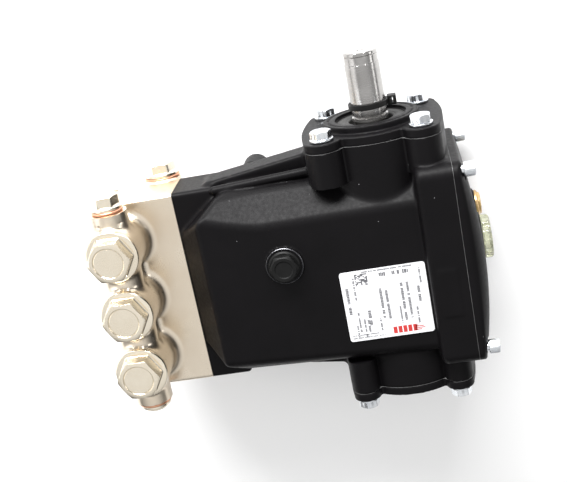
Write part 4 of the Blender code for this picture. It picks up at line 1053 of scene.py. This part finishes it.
def crankshaft_shape(x, y, z):
    """Drive end with its groove and keyway, journals, webs, and three pins a third of a turn apart."""
    rise = z - AXIS_Z
    around = length(y, rise)
    shape = rod(12.0, around, x, -136.4, -101.3, 0.3)
    shape = together(
        shape,
        rod(11.6, around, x, -SHAFT_TIP, -130.0, 0.9),
        rod(10.8, around, x, -104.0, -96.0, 0.1),
        rod(12.5, around, np.abs(x), 50.0, COLLAR_END, 0.3),
        rod(20.0, around, np.abs(x), 56.0, 65.0, 0.5),
        rod(20.0, around, np.abs(np.abs(x) - 22.0), -5.0, 10.0, 0.5),
    )
    shape = np.maximum(shape, x - 84.0)
    for lane, phase in ((-1, 0.0), (0, 120.0), (1, 240.0)):
        angle = math.radians(phase)
        pin = length(y + CRANK_THROW * math.cos(angle), rise - CRANK_THROW * math.sin(angle))
        shape = np.minimum(shape, rod(16.0, pin, x, lane * LANE - 13.0, lane * LANE + 13.0, 0.3))
    scribe = np.maximum(np.abs(x + 141.9) - 0.28, 11.25 - around)
    centre = around + (x + SHAFT_TIP) * 0.8 - 2.2
    across, depth = crank_turn(y, rise, KEY_ANGLE)
    slot = brick(x, across, depth, (-135.0, -4.0, 8.0), (-109.0, 4.0, 20.0), 0.2)
    return carve(shape, np.minimum(np.minimum(scribe, centre), slot), 0.1)


def key_shape(x, y, z):
    across, depth = crank_turn(y, z - AXIS_Z, KEY_ANGLE)
    return brick(x, across, depth, (-134.7, -3.7, 8.3), (-109.3, 3.7, 15.0), 0.7)


def tie_shape(x, y, z):
    """A nylon tie: a flat band round the shaft, a ribbed lock, and the short cut tail."""
    rise = z - AXIS_Z
    around = length(y, rise)
    band = extruded(np.abs(around - 13.1) - 0.8, -x, 105.9, 109.7, 0.4)
    across, depth = crank_turn(y, rise, KEY_ANGLE)
    band = np.maximum(band, -brick(x, across, depth, (-112.0, -5.0, 6.0), (-100.0, 5.0, 16.0), 0.3))
    lock = brick(x, y, rise, (-111.0, 13.1, -6.0), (-104.4, 19.2, 1.6), 0.6)
    slot = brick(x, y, rise, (-109.6, 14.9, -8.0), (-106.0, 17.0, 3.0), 0.2)
    tail = brick(x, y, rise, (-109.4, 15.0, 1.0), (-106.2, 16.5, 5.0), 0.3)
    return np.minimum(fuse(band, carve(lock, slot, 0.2), 0.6), tail)


def make_shaft():
    cast(
        "turned_crankshaft", crankshaft_shape, SHAFT_LOW, SHAFT_HIGH, 0.6, STEEL, "crank",
        ["crankshaft"],
    )
    low, high = box_of("shaft_key")
    cast("fitted_key", key_shape, low, high, 0.4, STEEL, "crank", ["shaft_key"])
    low, high = box_of("cable_tie")
    low, high = low - 2.0, high + 2.0
    cast("nylon_tie", tie_shape, low, high, 0.35, PLASTIC, "crank", ["cable_tie"])


# ---------------------------------------------------------------- label

def label_quads(rows):
    """Flat rectangles on the card, from their centres and half sizes along Y and X."""
    rows = np.array(rows)
    s, t, half_s, half_t = rows.T
    height = AXIS_Z + BODY_RISE + SEAM + CARD_THICKNESS + 0.03
    corners = [
        np.stack([LABEL_X + t + j * half_t, LABEL_Y + s + i * half_s, np.full(len(rows), height)], axis=1)
        for i, j in ((-1, -1), (-1, 1), (1, 1), (1, -1))
    ]
    points = np.stack(corners, axis=1).reshape(-1, 3)
    return points, [np.arange(len(points)).reshape(-1, 4)]


def print_line(random, s, t, run, size, upright):
    """A line of printing as a row of small strokes of uneven width, with word gaps; it can't be read."""
    rows = []
    place = 0.0
    while place < run:
        width = size * random.uniform(0.25, 0.62)
        if random.random() > 0.16:
            middle, half_run = place + width / 2, 0.45 * width
            half = 0.5 * size * random.uniform(0.75, 1.0)
            rows.append((s, t + middle, half, half_run) if upright else (s + middle, t, half_run, half))
        place += width * 1.12
    return rows


def make_label():
    """A white card with rows of small strokes, a square of cells and plain red bars."""
    random = np.random.default_rng(7)
    card = ring_outline(lambda a, b: rounded_rectangle(a, b, LABEL_HALF_X, LABEL_HALF_Y, 2.0), count=720)
    card = card + np.array([LABEL_X, LABEL_Y])
    top = AXIS_Z + BODY_RISE + SEAM
    prism("label_card", card, top, top + CARD_THICKNESS, 2, CARD, "pump", ["data_label"])
    lines = (
        (-25.6, -14.0, 19.0, 2.2), (-22.6, 14.0, 9.0, 1.3), (-20.6, 4.0, 15.0, 1.4),
        (-20.4, -21.0, 16.0, 1.5),
        (-17.2, 10.0, 13.0, 1.4), (-14.6, 11.0, 9.0, 1.6), (-13.0, 4.0, 11.0, 2.4), (-6.2, 10.0, 10.0, 1.4),
        (-3.2, -11.0, 22.0, 2.0), (0.6, -9.0, 21.0, 2.0), (8.4, 4.0, 12.0, 1.3), (11.4, -13.0, 27.0, 2.0),
        (15.4, -13.0, 27.0, 2.0), (19.8, 6.0, 12.0, 1.6), (22.6, -9.0, 11.0, 2.0), (24.8, -22.0, 11.0, 1.4),
    )
    across = (
        (-5.0, -21.0, 22.0, 3.2), (-14.0, -24.4, 34.0, 1.2), (-27.0, 23.6, 22.0, 0.9),
        (-27.0, 21.6, 18.0, 0.9),
    )
    rows = []
    for group, upright in ((lines, True), (across, False)):
        for s, t, run, size in group:
            rows += print_line(random, s, t, run, size, upright)
    cells = np.argwhere(random.random((9, 9)) > 0.45)
    rows += [(-18.6 + 0.95 * i, -23.0 + 0.95 * j, 0.475, 0.475) for i, j in cells]
    points, faces = label_quads(rows)
    place_piece("label_print", make_mesh("label_print", points, faces), INK, "pump")
    bars = [(2.6 + 3.4 * k, 21.2, 1.3, 2.5) for k in range(5)]
    bars += [(17.4, 19.8, 0.9, 0.35), (19.4, 20.6, 2.9, 0.3), (19.4, 21.8, 3.6, 0.3), (18.4, 23.0, 2.2, 0.3)]
    points, faces = label_quads(bars)
    place_piece("label_red_bars", make_mesh("label_red_bars", points, faces), RED_INK, "pump")


# ---------------------------------------------------------------- stage

def area_light(name, place, target, size, power):
    data = bpy.data.lights.new(name, "AREA")
    data.shape = "RECTANGLE"
    data.size, data.size_y = size
    data.energy = power
    obj = bpy.data.objects.new(name, data)
    bpy.context.scene.collection.objects.link(obj)
    obj.location = place
    obj.rotation_euler = (Vector(target) - Vector(place)).to_track_quat("-Z", "Y").to_euler()


def make_stage():
    """A pale floor under a white sky that fades towards the horizon, with three soft lights."""
    half = 6.0 / MM
    corners = np.array([(-half, -half, 0), (half, -half, 0), (half, half, 0), (-half, half, 0)])
    mesh = make_mesh("floor", corners, [np.array([[0, 1, 2, 3]])])
    material, _, shader = start_material("pale floor")
    shader.inputs["Base Color"].default_value = (0.93, 0.93, 0.93, 1.0)
    shader.inputs["Roughness"].default_value = 0.9
    shader.inputs["Specular IOR Level"].default_value = 0.0
    shader.inputs["Emission Color"].default_value = (1.0, 1.0, 1.0, 1.0)
    shader.inputs["Emission Strength"].default_value = 0.08
    floor = bpy.data.objects.new("floor", mesh)
    bpy.context.scene.collection.objects.link(floor)
    mesh.materials.append(material)

    world = bpy.data.worlds.new("studio")
    bpy.context.scene.world = world
    world.use_nodes = True
    tree = world.node_tree
    place = tree.nodes.new("ShaderNodeTexCoord")
    parts = tree.nodes.new("ShaderNodeSeparateXYZ")
    tree.links.new(place.outputs["Generated"], parts.inputs[0])
    glow = spread(tree, parts.outputs["Z"], 0.04, 0.90, 0.18, 0.90)
    sky = tree.nodes["Background"]
    sky.inputs["Color"].default_value = (1.0, 1.0, 1.0, 1.0)
    tree.links.new(glow, sky.inputs["Strength"])
    middle = (0.0, -0.06, 0.06)
    area_light("strip softbox", (-1.15, -0.20, 0.62), middle, (1.3, 0.4), 44.0)
    area_light("side softbox", (-0.10, -1.25, 0.60), middle, (0.9, 0.9), 5.0)
    area_light("rear softbox", (-0.15, 1.20, 0.45), middle, (0.6, 0.25), 2.0)


def make_camera():
    """A camera above the pump, with the rear cover to its right."""
    data = bpy.data.cameras.new("camera")
    data.lens = 68.47
    data.sensor_width = 36.0
    data.clip_start = 0.01
    back = Vector((-0.3183, 0.1364, 0.9381)).normalized()
    right = Vector((0.1883, 0.9790, -0.0785))
    right = (right - right.dot(back) * back).normalized()
    up = back.cross(right)
    camera = bpy.data.objects.new("camera", data)
    bpy.context.scene.collection.objects.link(camera)
    turn = Matrix((right, up, back)).transposed().to_4x4()
    camera.matrix_world = Matrix.Translation((-0.2656, 0.0295, 0.7844)) @ turn
    bpy.context.scene.camera = camera


make_camera()
make_stage()
bpy.context.scene.view_settings.view_transform = "Standard"
finish_nodes()
make_castings()
make_gaskets()
make_valve_caps()
make_screws()
make_ports()
make_case_plugs()
make_seal()
make_shaft()
make_label()
